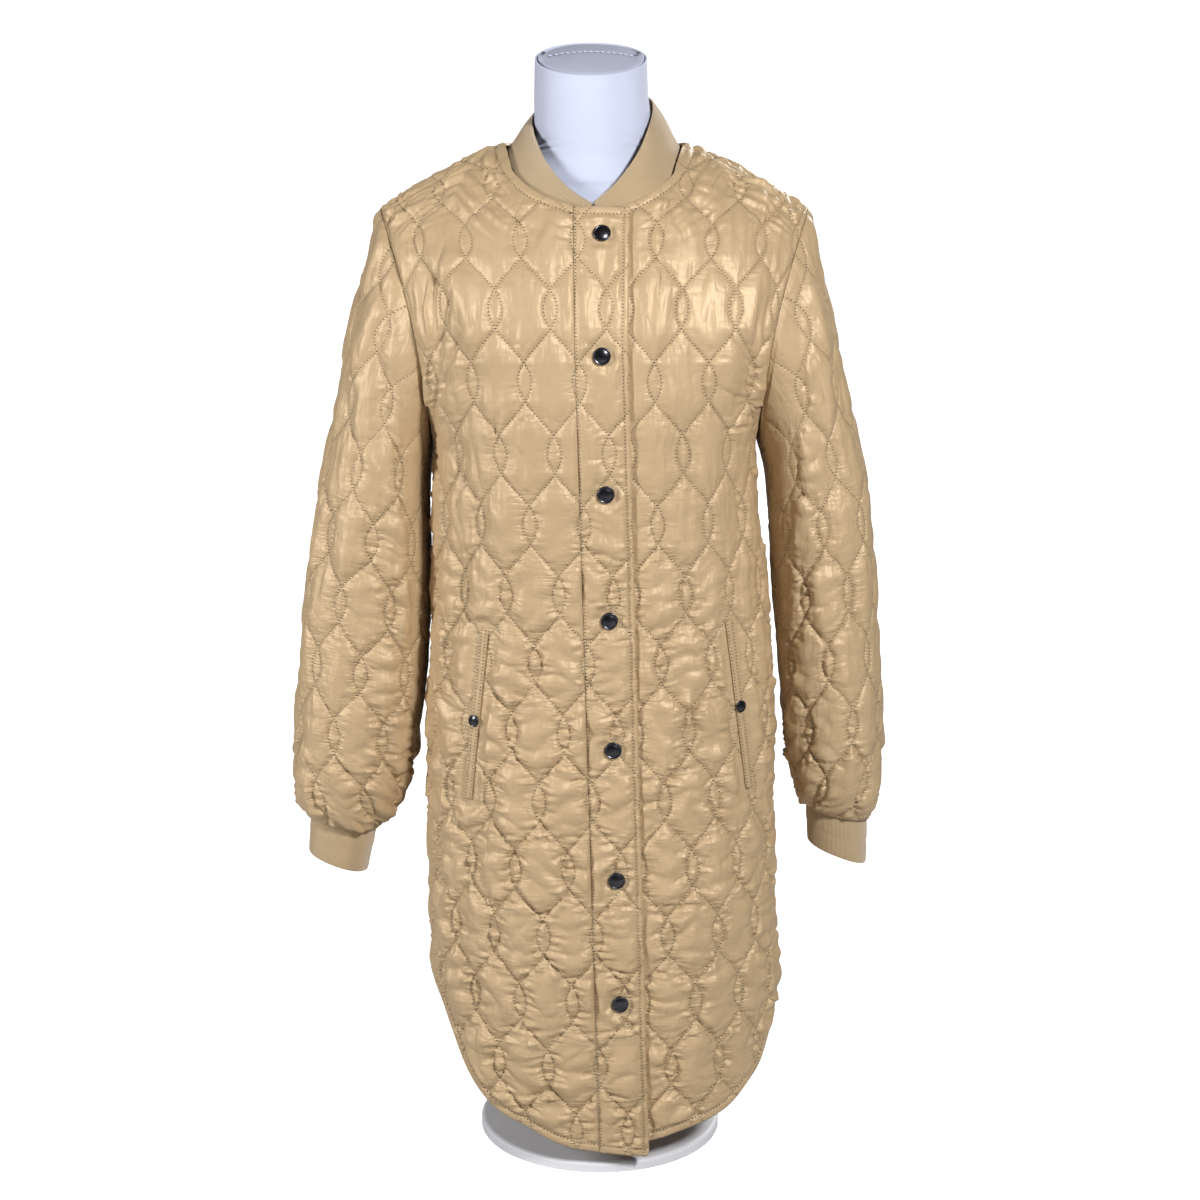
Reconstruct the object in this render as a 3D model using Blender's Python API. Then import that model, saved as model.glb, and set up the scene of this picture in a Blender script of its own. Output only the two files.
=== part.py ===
import math

import bmesh
import bpy
import numpy as np
from mathutils.geometry import delaunay_2d_cdt

for old in list(bpy.data.objects):
    bpy.data.objects.remove(old, do_unlink=True)

# Cloth and seam sizes, in metres
WALL = 0.0022            # quilted cloth at a stitched line
PUFF = 0.0038            # rise of the filling between the lines
GAP = 0.0003             # clearance at every seam
RIB_WALL = 0.0020        # rib knit of collar and cuffs

# Onion quilting: wavy lines that cross in pairs and close a small lens at every crossing
PITCH = 0.02325          # half the distance between lenses in a row
ROW = 0.0615             # distance between rows of lenses
SWING = 0.748            # side swing of a line, in pitches
TIP = math.acos(0.5 / SWING) / math.pi   # half height of a lens, in rows
LENS_ROW_Z = 0.785       # height of one row of lenses on the body

# Placket and hem
PLACKET = 0.045
UNDERLAP = 0.018
SNAP_R = 0.0075
POCKET_SNAP_R = 0.0055
HEM_SIDE = 0.158         # hem at the side seams
PLACKET_END = (0.0265, 0.0230)           # lower end of the placket at its two edges

# Shoulders, armholes and neckline of the body
SHOULDER_Z = 0.76        # above this height the body turns in to the shoulder ridge
TIP_Z = 0.870            # shoulder tips
UNDERARM_Z = 0.668
NECK_X, NECK_Z, NECK_DROP = 0.079, 0.9265, 0.0565
CORNER = 2.4             # squareness of the body rings

# A row per height: height, half width, front depth, back depth, centre shift to +X
BODY = np.array([
    (-0.02, 0.1605, 0.128, 0.124, 0.0050),
    (0.08, 0.1610, 0.128, 0.124, 0.0050),
    (0.16, 0.1615, 0.129, 0.125, 0.0045),
    (0.24, 0.1598, 0.129, 0.126, 0.0022),
    (0.32, 0.1587, 0.127, 0.126, 0.0005),
    (0.42, 0.1580, 0.125, 0.122, 0.0010),
    (0.466, 0.1552, 0.123, 0.118, 0.0010),
    (0.55, 0.1495, 0.124, 0.116, -0.0010),
    (0.607, 0.1460, 0.127, 0.117, -0.0045),
    (0.668, 0.1445, 0.132, 0.120, -0.0050),
    (0.70, 0.1550, 0.134, 0.121, -0.0050),
    (0.73, 0.1680, 0.135, 0.122, -0.0050),
    (0.763, 0.1810, 0.135, 0.123, -0.0050),
    (0.807, 0.1930, 0.134, 0.122, -0.0050),
    (0.85, 0.2050, 0.133, 0.121, -0.0050),
    (0.97, 0.2200, 0.132, 0.120, -0.0050),
])
# Shoulder ridge: distance from the centre, height
RIDGE = np.array([
    (0.0, 0.954), (0.04, 0.944), (0.079, 0.9265), (0.110, 0.9145),
    (0.138, 0.901), (0.165, 0.886), (0.190, 0.870), (0.220, 0.848),
])
# Armhole in the front view: height, distance from the centre
ARMHOLE = np.array([
    (0.668, 0.1445), (0.70, 0.1465), (0.73, 0.1495), (0.763, 0.1545),
    (0.807, 0.1660), (0.843, 0.1785), (0.870, 0.1900),
])
FALL = {"front": 1.6, "back": 2.0}       # roundness of the slope from chest or back to the ridge
# Sleeves, a row per section: outer x, outer z, inner x, inner z, front depth, back depth
SLEEVES = {
    "right": np.array([
        (0.1950, 0.870, 0.1495, 0.668, 0.075, 0.070),
        (0.2085, 0.816, 0.1570, 0.640, 0.072, 0.070),
        (0.2230, 0.763, 0.1595, 0.612, 0.068, 0.067),
        (0.2355, 0.699, 0.1595, 0.580, 0.064, 0.064),
        (0.2490, 0.645, 0.1590, 0.548, 0.061, 0.062),
        (0.2600, 0.580, 0.1600, 0.505, 0.058, 0.060),
        (0.2710, 0.503, 0.1635, 0.458, 0.056, 0.058),
        (0.2780, 0.430, 0.1690, 0.410, 0.055, 0.056),
        (0.2825, 0.372, 0.1785, 0.368, 0.052, 0.053),
        (0.2828, 0.336, 0.1885, 0.332, 0.047, 0.048),
        (0.2785, 0.319, 0.2000, 0.311, 0.039, 0.040),
        (0.2735, 0.3105, 0.2115, 0.2975, 0.031, 0.031),
    ]),
    "left": np.array([
        (0.1860, 0.870, 0.1410, 0.668, 0.075, 0.070),
        (0.1955, 0.816, 0.1530, 0.640, 0.072, 0.070),
        (0.2085, 0.763, 0.1565, 0.612, 0.068, 0.067),
        (0.2220, 0.699, 0.1590, 0.580, 0.064, 0.064),
        (0.2375, 0.643, 0.1610, 0.548, 0.061, 0.062),
        (0.2465, 0.580, 0.1645, 0.505, 0.058, 0.060),
        (0.2530, 0.503, 0.1690, 0.458, 0.056, 0.058),
        (0.2585, 0.430, 0.1740, 0.410, 0.055, 0.056),
        (0.2605, 0.372, 0.1800, 0.370, 0.052, 0.053),
        (0.2585, 0.340, 0.1860, 0.344, 0.047, 0.048),
        (0.2560, 0.323, 0.1905, 0.331, 0.039, 0.040),
        (0.2530, 0.3070, 0.1950, 0.3205, 0.031, 0.031),
    ]),
}
SLEEVE_GIRTH = 0.385
# Cuff bottoms: outer x, outer z, inner x, inner z, depth
CUFF_END = {
    "right": (0.2765, 0.2745, 0.2210, 0.2540, 0.028),
    "left": (0.2530, 0.2620, 0.1970, 0.2830, 0.028),
}
# Collar top edge: degrees from the front, distance from the centre, y, z
COLLAR = np.array([
    (0, 0.0000, -0.0900, 0.8735), (20, 0.0185, -0.0800, 0.8875), (45, 0.0395, -0.0600, 0.9125),
    (65, 0.0500, -0.0360, 0.9350), (90, 0.0545, -0.0040, 0.9530), (120, 0.0500, 0.0270, 0.9650),
    (150, 0.0310, 0.0500, 0.9710), (180, 0.0000, 0.0580, 0.9730),
])
# Shirt-tail hem: share of the way from the middle to the side seam, height
HEM = {
    "right": np.array([
        (0.0, 0.0265), (0.09, 0.0275), (0.19, 0.031), (0.26, 0.037), (0.35, 0.0485), (0.46, 0.060),
        (0.547, 0.077), (0.615, 0.098), (0.675, 0.122), (0.735, 0.143), (0.84, 0.157), (1.0, HEM_SIDE),
    ]),
    "left": np.array([
        (0.0, 0.0335), (0.10, 0.0358), (0.20, 0.0430), (0.30, 0.049), (0.377, 0.054), (0.444, 0.060),
        (0.561, 0.078), (0.651, 0.093), (0.709, 0.109), (0.79, 0.126), (0.90, 0.148), (1.0, HEM_SIDE),
    ]),
    "back": np.array([
        (0.0, 0.0230), (0.20, 0.031), (0.35, 0.047), (0.46, 0.061), (0.56, 0.079), (0.65, 0.102),
        (0.72, 0.126), (0.80, 0.147), (0.90, 0.157), (1.0, HEM_SIDE),
    ]),
}
SNAP_V = (0.851, 0.746, 0.6285, 0.5175, 0.4025, 0.2845, 0.170)
# Pocket welts in the front view: top x, top z, bottom x, bottom z; the snap's height
WELT = {"right": (-0.1000, 0.505, -0.1170, 0.350), "left": (0.1120, 0.512, 0.1320, 0.357)}
WELT_WIDTH = 0.011
WELT_SNAP_Z = {"right": 0.423, "left": 0.434}
# Large folds: face, x, z, lean in degrees, half length, half width, height
FOLDS = [
    ("front", -0.118, 0.800, -24, 0.060, 0.012, 0.0055),
    ("front", -0.142, 0.770, -14, 0.055, 0.011, -0.0050),
    ("front", 0.120, 0.780, 22, 0.060, 0.014, 0.0040),
    ("front", 0.095, 0.690, 10, 0.110, 0.018, 0.0030),
    ("front", -0.085, 0.640, -6, 0.120, 0.018, 0.0030),
    ("front", -0.120, 0.560, 8, 0.080, 0.014, -0.0035),
    ("front", 0.125, 0.560, -8, 0.080, 0.014, -0.0035),
    ("front", -0.060, 0.230, -4, 0.130, 0.022, 0.0040),
    ("front", 0.090, 0.210, 5, 0.130, 0.022, 0.0040),
    ("front", -0.120, 0.240, 3, 0.120, 0.018, -0.0030),
    ("back", -0.115, 0.790, -22, 0.065, 0.013, 0.0050),
    ("back", 0.115, 0.790, 22, 0.065, 0.013, 0.0050),
    ("back", 0.000, 0.600, 2, 0.130, 0.020, 0.0035),
    ("back", -0.070, 0.250, -4, 0.140, 0.024, 0.0045),
    ("back", 0.065, 0.260, 4, 0.140, 0.024, 0.0045),
]

RINGS, STEPS = 90, 140


def smooth(low, high, x):
    t = np.clip((x - low) / (high - low), 0.0, 1.0)
    return t * t * (3.0 - 2.0 * t)


def spline(xs, ys, x):
    """Cubic curve through a table, with slopes from the neighbouring rows."""
    xs = np.asarray(xs, float)
    ys = np.asarray(ys, float)
    x = np.clip(np.asarray(x, float), xs[0], xs[-1])
    slope = np.gradient(ys, xs)
    i = np.clip(np.searchsorted(xs, x, side="right") - 1, 0, len(xs) - 2)
    h = xs[i + 1] - xs[i]
    t = (x - xs[i]) / h
    a = (1 + 2 * t) * (1 - t) ** 2 * ys[i] + t * (1 - t) ** 2 * h * slope[i]
    return a + t * t * (3 - 2 * t) * ys[i + 1] + t * t * (t - 1) * h * slope[i + 1]


def centre(z):
    return spline(BODY[:, 0], BODY[:, 4], z)


def front_line(z):
    """The line of the snaps leans to +X as it goes down."""
    return -0.002 + (0.871 - np.minimum(z, SHOULDER_Z)) * 0.0286


def ridge(dx):
    return spline(RIDGE[:, 0], RIDGE[:, 1], np.abs(dx))


def flare(z):
    """Above the chest the columns of the cloth spread towards the shoulder tips."""
    t = np.maximum(z - SHOULDER_Z, 0.0)
    return 1.0 + 0.85 * t * t / (t + 0.03)


def ridge_height(dx0):
    """Height at which a column, named by its place at the chest, meets the shoulder ridge."""
    z = ridge(dx0)
    for _ in range(14):
        z = ridge(dx0 * flare(z))
    return float(z)


def column(face, dx0):
    """Path of a column from the chest to the ridge: distance from the centre, depth and height."""
    z = SHOULDER_Z + (ridge_height(dx0) - SHOULDER_Z) * np.sin(np.linspace(0.0, math.pi / 2, 260))
    dx = dx0 * flare(z)
    return np.stack([dx, depth(face, dx, z), z], 1)


def depth(face, dx, z):
    """How far the cloth's inner surface stands from the middle plane at a place in the front view."""
    half = spline(BODY[:, 0], BODY[:, 1], z)
    deep = spline(BODY[:, 0], BODY[:, 2 if face == "front" else 3], z)
    flat = np.clip(1.0 - (np.abs(dx) / half) ** CORNER, 0.0, 1.0) ** (1.0 / CORNER)
    rise = np.clip((z - SHOULDER_Z) / (ridge(dx) - SHOULDER_Z), 0.0, 1.0)
    m = FALL[face]
    return deep * flat * (1.0 - rise ** m) ** (1.0 / m)


def resample(path, count):
    """Points at equal steps along a path, and its length."""
    step = np.linalg.norm(np.diff(path, axis=0), axis=1)
    along = np.concatenate([[0.0], np.cumsum(step)])
    want = np.linspace(0.0, along[-1], count)
    return np.stack([np.interp(want, along, path[:, k]) for k in range(path.shape[1])], 1), along[-1]


def body_tables(face):
    low_z = np.linspace(-0.02, SHOULDER_Z, RINGS)
    rows, lengths = [], []
    for z in low_z:
        half = float(spline(BODY[:, 0], BODY[:, 1], z))
        dx = half * np.sin(np.linspace(0.0, math.pi / 2, 260))
        path = np.stack([dx, depth(face, dx, np.full_like(dx, z))], 1)
        path, total = resample(path, STEPS)
        rows.append(path)
        lengths.append(total)
    cols, heights = [], []
    col_x = np.linspace(0.0, 0.18, RINGS)
    for dx0 in col_x:
        path, total = resample(column(face, dx0), STEPS)
        cols.append(path)
        heights.append(total)
    return {"z": low_z, "rows": np.array(rows), "long": np.array(lengths),
            "x": col_x, "cols": np.array(cols), "high": np.array(heights)}


def look_up(grid, a, b):
    """Value of a grid at fractional row a and column b."""
    a = np.clip(a, 0.0, grid.shape[0] - 1.0001)
    b = np.clip(b, 0.0, grid.shape[1] - 1.0001)
    i, j = a.astype(int), b.astype(int)
    s, t = (a - i)[:, None], (b - j)[:, None]
    one = grid[i, j] * (1 - t) + grid[i, j + 1] * t
    two = grid[i + 1, j] * (1 - t) + grid[i + 1, j + 1] * t
    return one * (1 - s) + two * s


TABLES = {face: body_tables(face) for face in ("front", "back")}


def shift(face, z):
    """Distance between the middle of a ring and the line where the cloth's width starts."""
    if face == "back":
        return -centre(z)
    return front_line(z) - centre(z)


def body_place(face, u, v):
    """Point of the cloth's inner surface: u across the cloth, v up it, folds left out."""
    t = TABLES[face]
    u, v = np.asarray(u, float), np.asarray(v, float)
    low = np.minimum(v, SHOULDER_Z)
    s = u + shift(face, low)
    a = (low - t["z"][0]) / (t["z"][1] - t["z"][0])
    long = np.interp(low, t["z"], t["long"])
    at = look_up(t["rows"], a, np.abs(s) / long * (STEPS - 1))
    dx = at[:, 0] * np.sign(s)
    high = np.interp(np.abs(dx), t["x"], t["high"])
    b = np.clip((v - SHOULDER_Z) / high, 0.0, 1.0)
    up = look_up(t["cols"], np.abs(dx) / (t["x"][1] - t["x"][0]), b * (STEPS - 1))
    top = v > SHOULDER_Z
    z = np.where(top, up[:, 2], v)
    y = np.where(top, up[:, 1], at[:, 1])
    dx = np.where(top, up[:, 0] * np.sign(s), dx)
    return np.stack([dx + centre(z), -y if face == "front" else y, z], 1)


def cloth(face, dx, z):
    """Cloth coordinates of a place given by its distance from the centre and its height."""
    t = TABLES[face]
    low = min(z, SHOULDER_Z)
    half = float(spline(BODY[:, 0], BODY[:, 1], low))
    xs = half * np.sin(np.linspace(0.0, math.pi / 2, 260))
    path = np.stack([xs, depth(face, xs, np.full_like(xs, low))], 1)
    along = np.concatenate([[0.0], np.cumsum(np.linalg.norm(np.diff(path, axis=0), axis=1))])
    dx0 = abs(dx) / float(flare(z))
    u = math.copysign(float(np.interp(dx0, xs, along)), dx) - float(shift(face, low))
    if z <= SHOULDER_Z:
        return u, z
    path = column(face, dx0)
    along = np.concatenate([[0.0], np.cumsum(np.linalg.norm(np.diff(path, axis=0), axis=1))])
    return u, SHOULDER_Z + float(np.interp(z, path[:, 2], along))


def side_u(face, z, sign):
    t = TABLES[face]
    return sign * float(np.interp(z, t["z"], t["long"])) - float(shift(face, z))


def normals(place, u, v, outward):
    h = 0.0015
    across = place(u + h, v) - place(u - h, v)
    up = place(u, v + h) - place(u, v - h)
    n = np.cross(across, up) * outward
    return n / np.linalg.norm(n, axis=1)[:, None]


def edge_calm(x, z):
    """Folds fade out towards armholes, side seams, neckline and hem."""
    side = spline(BODY[:, 0], BODY[:, 1], np.minimum(z, UNDERARM_Z))
    arm = np.where(z > UNDERARM_Z, spline(ARMHOLE[:, 0], ARMHOLE[:, 1], z), side)
    calm = smooth(0.004, 0.030, arm - np.abs(x - centre(z)))
    return calm * smooth(0.03, 0.10, z) * smooth(0.0, 0.03, 0.84 - z)


def fold_rise(face, p):
    total = np.zeros(len(p))
    for where, x, z, lean, long, wide, high in FOLDS:
        if where != face:
            continue
        c, s = math.cos(math.radians(lean)), math.sin(math.radians(lean))
        along = (p[:, 2] - z) * c + (p[:, 0] - x) * s
        across = (p[:, 0] - x) * c - (p[:, 2] - z) * s
        total += high * np.exp(-(across / wide) ** 2) * np.exp(-(along / long) ** 4)
    return total * edge_calm(p[:, 0], p[:, 2])


def body_shape(face):
    """Folded inner surface of one face of the body, and its normals."""
    outward = 1.0 if face == "front" else -1.0

    def base(u, v):
        return body_place(face, u, v)

    def place(u, v):
        p = base(u, v)
        n = normals(base, u, v, outward)
        return p + n * fold_rise(face, p)[:, None]

    return place, base, outward, None


def quilt(u0, v0, low_u, high_u, low_v, high_v):
    """Points of the quilting with their share of the rise, and the stitched lines between them."""
    points, index, edges = [], {}, []

    def add(a, b, rise):
        key = (round(a * 1000), round(b * 1000))
        if key not in index:
            index[key] = len(points)
            points.append((u0 + a * PITCH, v0 + b * ROW, rise))
        return index[key]

    half = SWING - 0.5
    for n in range(int((low_v - v0) / ROW) - 2, int((high_v - v0) / ROW) + 3):
        for k in range(int((low_u - u0) / PITCH) - 3, int((high_u - u0) / PITCH) + 4):
            if (k - n) % 2:
                add(k, n, 1.0)
                add(k, n - 0.36, 0.72)
                add(k, n + 0.36, 0.72)
                continue
            add(k, n, 0.30)
            left, right = add(k - half, n, 0.0), add(k + half, n, 0.0)
            for way in (-1, 1):
                tip = add(k, n + way * TIP, 0.0)
                edges += [(left, tip), (right, tip)]
                edges += [(tip, add(k + side, n + way * 0.5, 0.0)) for side in (-0.5, 0.5)]
    return points, edges


def inside(polygon, pts, margin):
    """Which points lie inside a closed outline and further than the margin from it."""
    poly = np.array(polygon)
    a, b = poly, np.roll(poly, -1, axis=0)
    keep = []
    for p in pts:
        d = b - a
        t = np.clip(((p - a) * d).sum(1) / (d * d).sum(1), 0.0, 1.0)
        near = np.linalg.norm(a + d * t[:, None] - p, axis=1).min()
        hit = (a[:, 1] > p[1]) != (b[:, 1] > p[1])
        with np.errstate(divide="ignore", invalid="ignore"):
            cross = a[:, 0] + (p[1] - a[:, 1]) / (b[:, 1] - a[:, 1]) * (b[:, 0] - a[:, 0])
        keep.append(bool((hit & (p[0] < cross)).sum() % 2 and near > margin))
    return np.array(keep)


def triangulate(outline, pts, edges):
    """Triangles over an outline and the points within it; the outline's points come first."""
    count = len(outline)
    ring = [(i, (i + 1) % count) for i in range(count)]
    verts = [tuple(p) for p in outline] + [tuple(p) for p in pts]
    found = delaunay_2d_cdt(verts, ring + [(a + count, b + count) for a, b in edges], [], 1, 1e-6)
    new_index = [min(group) for group in found[3]]
    return [tuple(new_index[i] for i in face) for face in found[2]], verts


collection = bpy.data.collections.new("quilted_jacket")
bpy.context.scene.collection.children.link(collection)


def material(name, colour, roughness, metallic=0.0):
    made = bpy.data.materials.new(name)
    made.use_nodes = True
    shader = made.node_tree.nodes["Principled BSDF"]
    shader.inputs["Base Color"].default_value = (*colour, 1.0)
    shader.inputs["Roughness"].default_value = roughness
    shader.inputs["Metallic"].default_value = metallic
    return made


def node(name, verts, faces, colour, roughness, metallic=0.0, round_piece=True):
    """One closed solid from its points and faces, in a node of its own."""
    mesh = bpy.data.meshes.new(name)
    bm = bmesh.new()
    made = [bm.verts.new(v) for v in verts]
    for face in faces:
        if len(set(face)) == len(face):
            bm.faces.new([made[i] for i in face])
    bmesh.ops.remove_doubles(bm, verts=bm.verts, dist=0.00002)
    bmesh.ops.recalc_face_normals(bm, faces=bm.faces)
    if bm.calc_volume(signed=True) < 0.0:
        bmesh.ops.reverse_faces(bm, faces=bm.faces)
    for face in bm.faces:
        face.smooth = round_piece
    bm.to_mesh(mesh)
    bm.free()
    mesh.materials.append(material(name + "_material", colour, roughness, metallic))
    made = bpy.data.objects.new(name, mesh)
    collection.objects.link(made)
    return made


def panel(name, shape, outline, pattern, lines, calm, sink, inner_step, colour, closed_sides=(), spots=(),
          extra=()):
    """A quilted wall over a flat outline. Outer points rise between the stitched lines."""
    place, base, outward, seam_normals = shape
    edge = np.array(outline)
    pts, edges = pattern
    xy = np.array([p[:2] for p in pts])
    keep = inside(outline, xy, 0.0055)
    for line in lines:
        keep &= xy[:, 0] > line + 0.004
    for u, v in spots:
        keep &= np.hypot(xy[:, 0] - u, xy[:, 1] - v) > SNAP_R + 0.0045
    order = {int(i): n for n, i in enumerate(np.flatnonzero(keep))}
    points = [tuple(xy[i]) for i in order]
    rise = [pts[i][2] for i in order]
    joined = [(order[a], order[b]) for a, b in edges if a in order and b in order]
    for line in lines:
        column = np.array([(line, v) for v in np.arange(edge[:, 1].min(), edge[:, 1].max(), 0.030)])
        column = column[inside(outline, column, 0.008)]
        joined += [(len(points) + i, len(points) + i + 1) for i in range(len(column) - 1)]
        points += [tuple(p) for p in column]
        rise += [0.0] * len(column)
    for u, v in spots:
        turns = np.linspace(0.0, 2 * math.pi, 7)[:-1]
        joined += [(len(points) + i, len(points) + (i + 1) % 6) for i in range(6)]
        points += [(u + (SNAP_R + 0.0015) * math.cos(t), v + (SNAP_R + 0.0015) * math.sin(t)) for t in turns]
        rise += [0.0] * 6
    outer_faces, outer_uv = triangulate(outline, points, joined)
    us = np.arange(edge[:, 0].min(), edge[:, 0].max(), inner_step) + inner_step * 0.5
    vs = np.arange(edge[:, 1].min(), edge[:, 1].max(), inner_step) + inner_step * 0.5
    grid = np.array([(u, v) for u in us for v in vs])
    grid = grid[inside(outline, grid, 0.011)]
    if len(extra):
        near = np.linalg.norm(grid[:, None, :] - np.array(extra)[None, :, :], axis=2).min(axis=1)
        grid = np.concatenate([grid[near > 0.012], np.array(extra)])
    inner_faces, inner_uv = triangulate(outline, [tuple(p) for p in grid], [])
    count = len(outline)
    ou, iu = np.array(outer_uv), np.array(inner_uv)
    out_p, out_n = place(ou[:, 0], ou[:, 1]), normals(base, ou[:, 0], ou[:, 1], outward)
    in_p, in_n = place(iu[:, 0], iu[:, 1]), normals(base, iu[:, 0], iu[:, 1], outward)
    if seam_normals:
        out_n[:count] = seam_normals(ou[:count], out_n[:count])
    share = np.concatenate([np.zeros(count), np.array(rise)])
    up = sink(ou) + WALL + PUFF * share * calm(out_p)
    outer = out_p + out_n * up[:, None]
    inner = in_p + in_n * sink(iu)[:, None]
    faces = list(outer_faces) + [tuple(i + len(outer) for i in reversed(f)) for f in inner_faces]
    for i in range(count):
        j = (i + 1) % count
        if (i, j) in closed_sides:
            continue
        a, b = i + len(outer), j + len(outer)
        faces += [(j, i, a), (j, a, b)]
    return node(name, np.concatenate([outer, inner]), faces, colour, 0.38)


TAFFETA = (0.50, 0.35, 0.18)
RIB = (0.47, 0.32, 0.15)
GUNMETAL = (0.05, 0.05, 0.055)
WHITE = (0.80, 0.80, 0.86)

ARM_COUNT = 28
ARM_ANGLES = np.linspace(0.0, math.pi, ARM_COUNT // 2 + 1)
RIDGE_X = np.array([0.190, 0.1775, 0.165, 0.1515, 0.138, 0.124, 0.110, 0.095, NECK_X])
NECK_ANGLES = np.radians([0, 8.0, 22, 36, 50, 63, 77, 90])
SIDE_Z = np.linspace(HEM_SIDE, UNDERARM_Z, 24)
ARM_MID, ARM_HALF = (TIP_Z + UNDERARM_Z) / 2, (TIP_Z - UNDERARM_Z) / 2


def arm_place(angle):
    """Place on the armhole: distance from the centre and height; 0 at the shoulder tip."""
    z = ARM_MID + ARM_HALF * math.cos(angle)
    return float(spline(ARMHOLE[:, 0], ARMHOLE[:, 1], z)), z


def neck_place(face, angle):
    """Place on the neckline; 0 at the middle of the face, a quarter turn at the shoulder ridge."""
    fall = NECK_DROP * math.cos(angle) if face == "front" else -0.0032 * math.cos(angle) ** 2
    return NECK_X * math.sin(angle), NECK_Z - fall


def hem_height(face, sign, u):
    """Height of the hem at a place across the cloth."""
    table = HEM["back" if face == "back" else "right" if sign < 0 else "left"]
    return float(spline(table[:, 0], table[:, 1], max(0.0, u / side_u(face, HEM_SIDE, sign))))


def half_edge(face, sign, hem_count, first_u):
    """Outline of one half of a face, from the hem at first_u round by the side to the neckline."""
    last = side_u(face, HEM_SIDE, sign)
    out = [(u, hem_height(face, sign, u)) for u in np.linspace(first_u, last, hem_count + 1)[:-1]]
    inset = sign * GAP * 0.5
    out += [(side_u(face, z, sign) - inset, z) for z in SIDE_Z]
    for angle in ARM_ANGLES[::-1][1:-1]:
        dx, z = arm_place(angle)
        out.append(cloth(face, sign * dx, z))
    for dx in RIDGE_X:
        u, v = cloth(face, sign * dx, float(ridge(dx)) - 1e-6)
        out.append((u, v - GAP * 0.5))
    return out


def below_ridge(face, signs):
    """Inner points just below the shoulder ridge, where the cloth turns most."""
    out = []
    for sign in signs:
        for dx in RIDGE_X[1:-1]:
            u, v = cloth(face, sign * dx, float(ridge(dx)) - 1e-6)
            out += [(u, v - 0.012), (u, v - 0.028)]
    return out


def no_sink(uv):
    return np.zeros(len(uv))


def calm_at(side):
    """The cloth lies flat under a pocket welt and calmer next to the sleeve."""
    def calm(p):
        keep = np.ones(len(p))
        if side in WELT:
            x1, z1, x2, z2 = WELT[side]
            t = np.clip((z1 - p[:, 2]) / (z1 - z2), 0.0, 1.0)
            away = np.hypot(p[:, 0] - x1 - (x2 - x1) * t, p[:, 2] - z1 - (z2 - z1) * t)
            keep *= smooth(0.009, 0.020, away)
        beside = smooth(0.012, 0.035, spline(BODY[:, 0], BODY[:, 1], np.minimum(p[:, 2], UNDERARM_Z))
                        - np.abs(p[:, 0] - centre(p[:, 2])))
        keep *= np.where(p[:, 2] < 0.70, 0.25 + 0.75 * beside, 1.0)
        return keep
    return calm


RIGHT_PHASE, LEFT_PHASE = -0.0426, 0.0205
BACK_PHASE = 0.0

# Right front panel, from the placket seam round to the side seam
right_front = half_edge("front", -1.0, 14, -PLACKET / 2 - GAP)
neck = []
for angle in NECK_ANGLES[::-1][1:]:
    u, v = cloth("front", -neck_place("front", angle)[0], neck_place("front", angle)[1])
    if u < -PLACKET / 2 - GAP - 0.004:
        neck.append((u, v))
TOP_Z = neck_place("front", 0.0)[1]
seam_v = cloth("front", -0.0225, TOP_Z + 0.0006)[1]
neck.append((-PLACKET / 2 - GAP, seam_v))
seam = [(-PLACKET / 2 - GAP, v) for v in np.linspace(seam_v, right_front[0][1], 34)[1:-1]]
outline = (right_front + neck + seam)[::-1]
panel("front_right", body_shape("front"), outline, quilt(RIGHT_PHASE, LENS_ROW_Z, -0.30, 0.0, 0.0, 0.98),
      [], calm_at("right"), no_sink, 0.036, TAFFETA, extra=below_ridge("front", (-1.0,)))


# Left front panel, running on below the placket and sinking under it
def under(uv):
    return -(WALL + 3 * GAP) * (1.0 - smooth(PLACKET / 2 + 0.002, PLACKET / 2 + 0.018, uv[:, 0]))


left_front = half_edge("front", 1.0, 15, -UNDERLAP)
neck = []
for angle in NECK_ANGLES[::-1][1:]:
    dx, z = neck_place("front", angle)
    u, v = cloth("front", dx, z)
    neck.append((u, v))
dx, z = neck_place("front", math.radians(-11.0))
neck.append(cloth("front", dx, z))
edge_v = neck[-1][1]
edge = [(-UNDERLAP, v) for v in np.linspace(edge_v, left_front[0][1], 26)[1:-1]]
neck[-1] = (-UNDERLAP, edge_v)
outline = left_front + neck + edge
panel("front_left", body_shape("front"), outline, quilt(LEFT_PHASE, LENS_ROW_Z, 0.0, 0.30, 0.0, 0.98),
      [PLACKET / 2 + 0.0012], calm_at("left"), under, 0.036, TAFFETA, extra=below_ridge("front", (1.0,)))

# Back panel
right_half = half_edge("back", 1.0, 13, 0.0)
left_half = half_edge("back", -1.0, 13, 0.0)
neck = [cloth("back", s * neck_place("back", a)[0], neck_place("back", a)[1])
        for s, turn in ((1.0, NECK_ANGLES[::-1][1:-1]), (-1.0, NECK_ANGLES[1:-1])) for a in turn]
middle = cloth("back", 1e-6, neck_place("back", 0.0)[1])
half = len(neck) // 2
outline = right_half + neck[:half] + [middle] + neck[half:] + left_half[:0:-1]
panel("back", body_shape("back"), outline, quilt(BACK_PHASE, LENS_ROW_Z, -0.30, 0.30, 0.0, 1.0),
      [], calm_at("back"), no_sink, 0.036, TAFFETA, extra=below_ridge("back", (-1.0, 1.0)))


# Placket band over the front edge
def snap_calm(p):
    keep = np.ones(len(p))
    for v in SNAP_V:
        keep *= smooth(0.009, 0.016, np.hypot(p[:, 0] - front_line(v), p[:, 2] - v))
    return keep * 0.8


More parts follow.
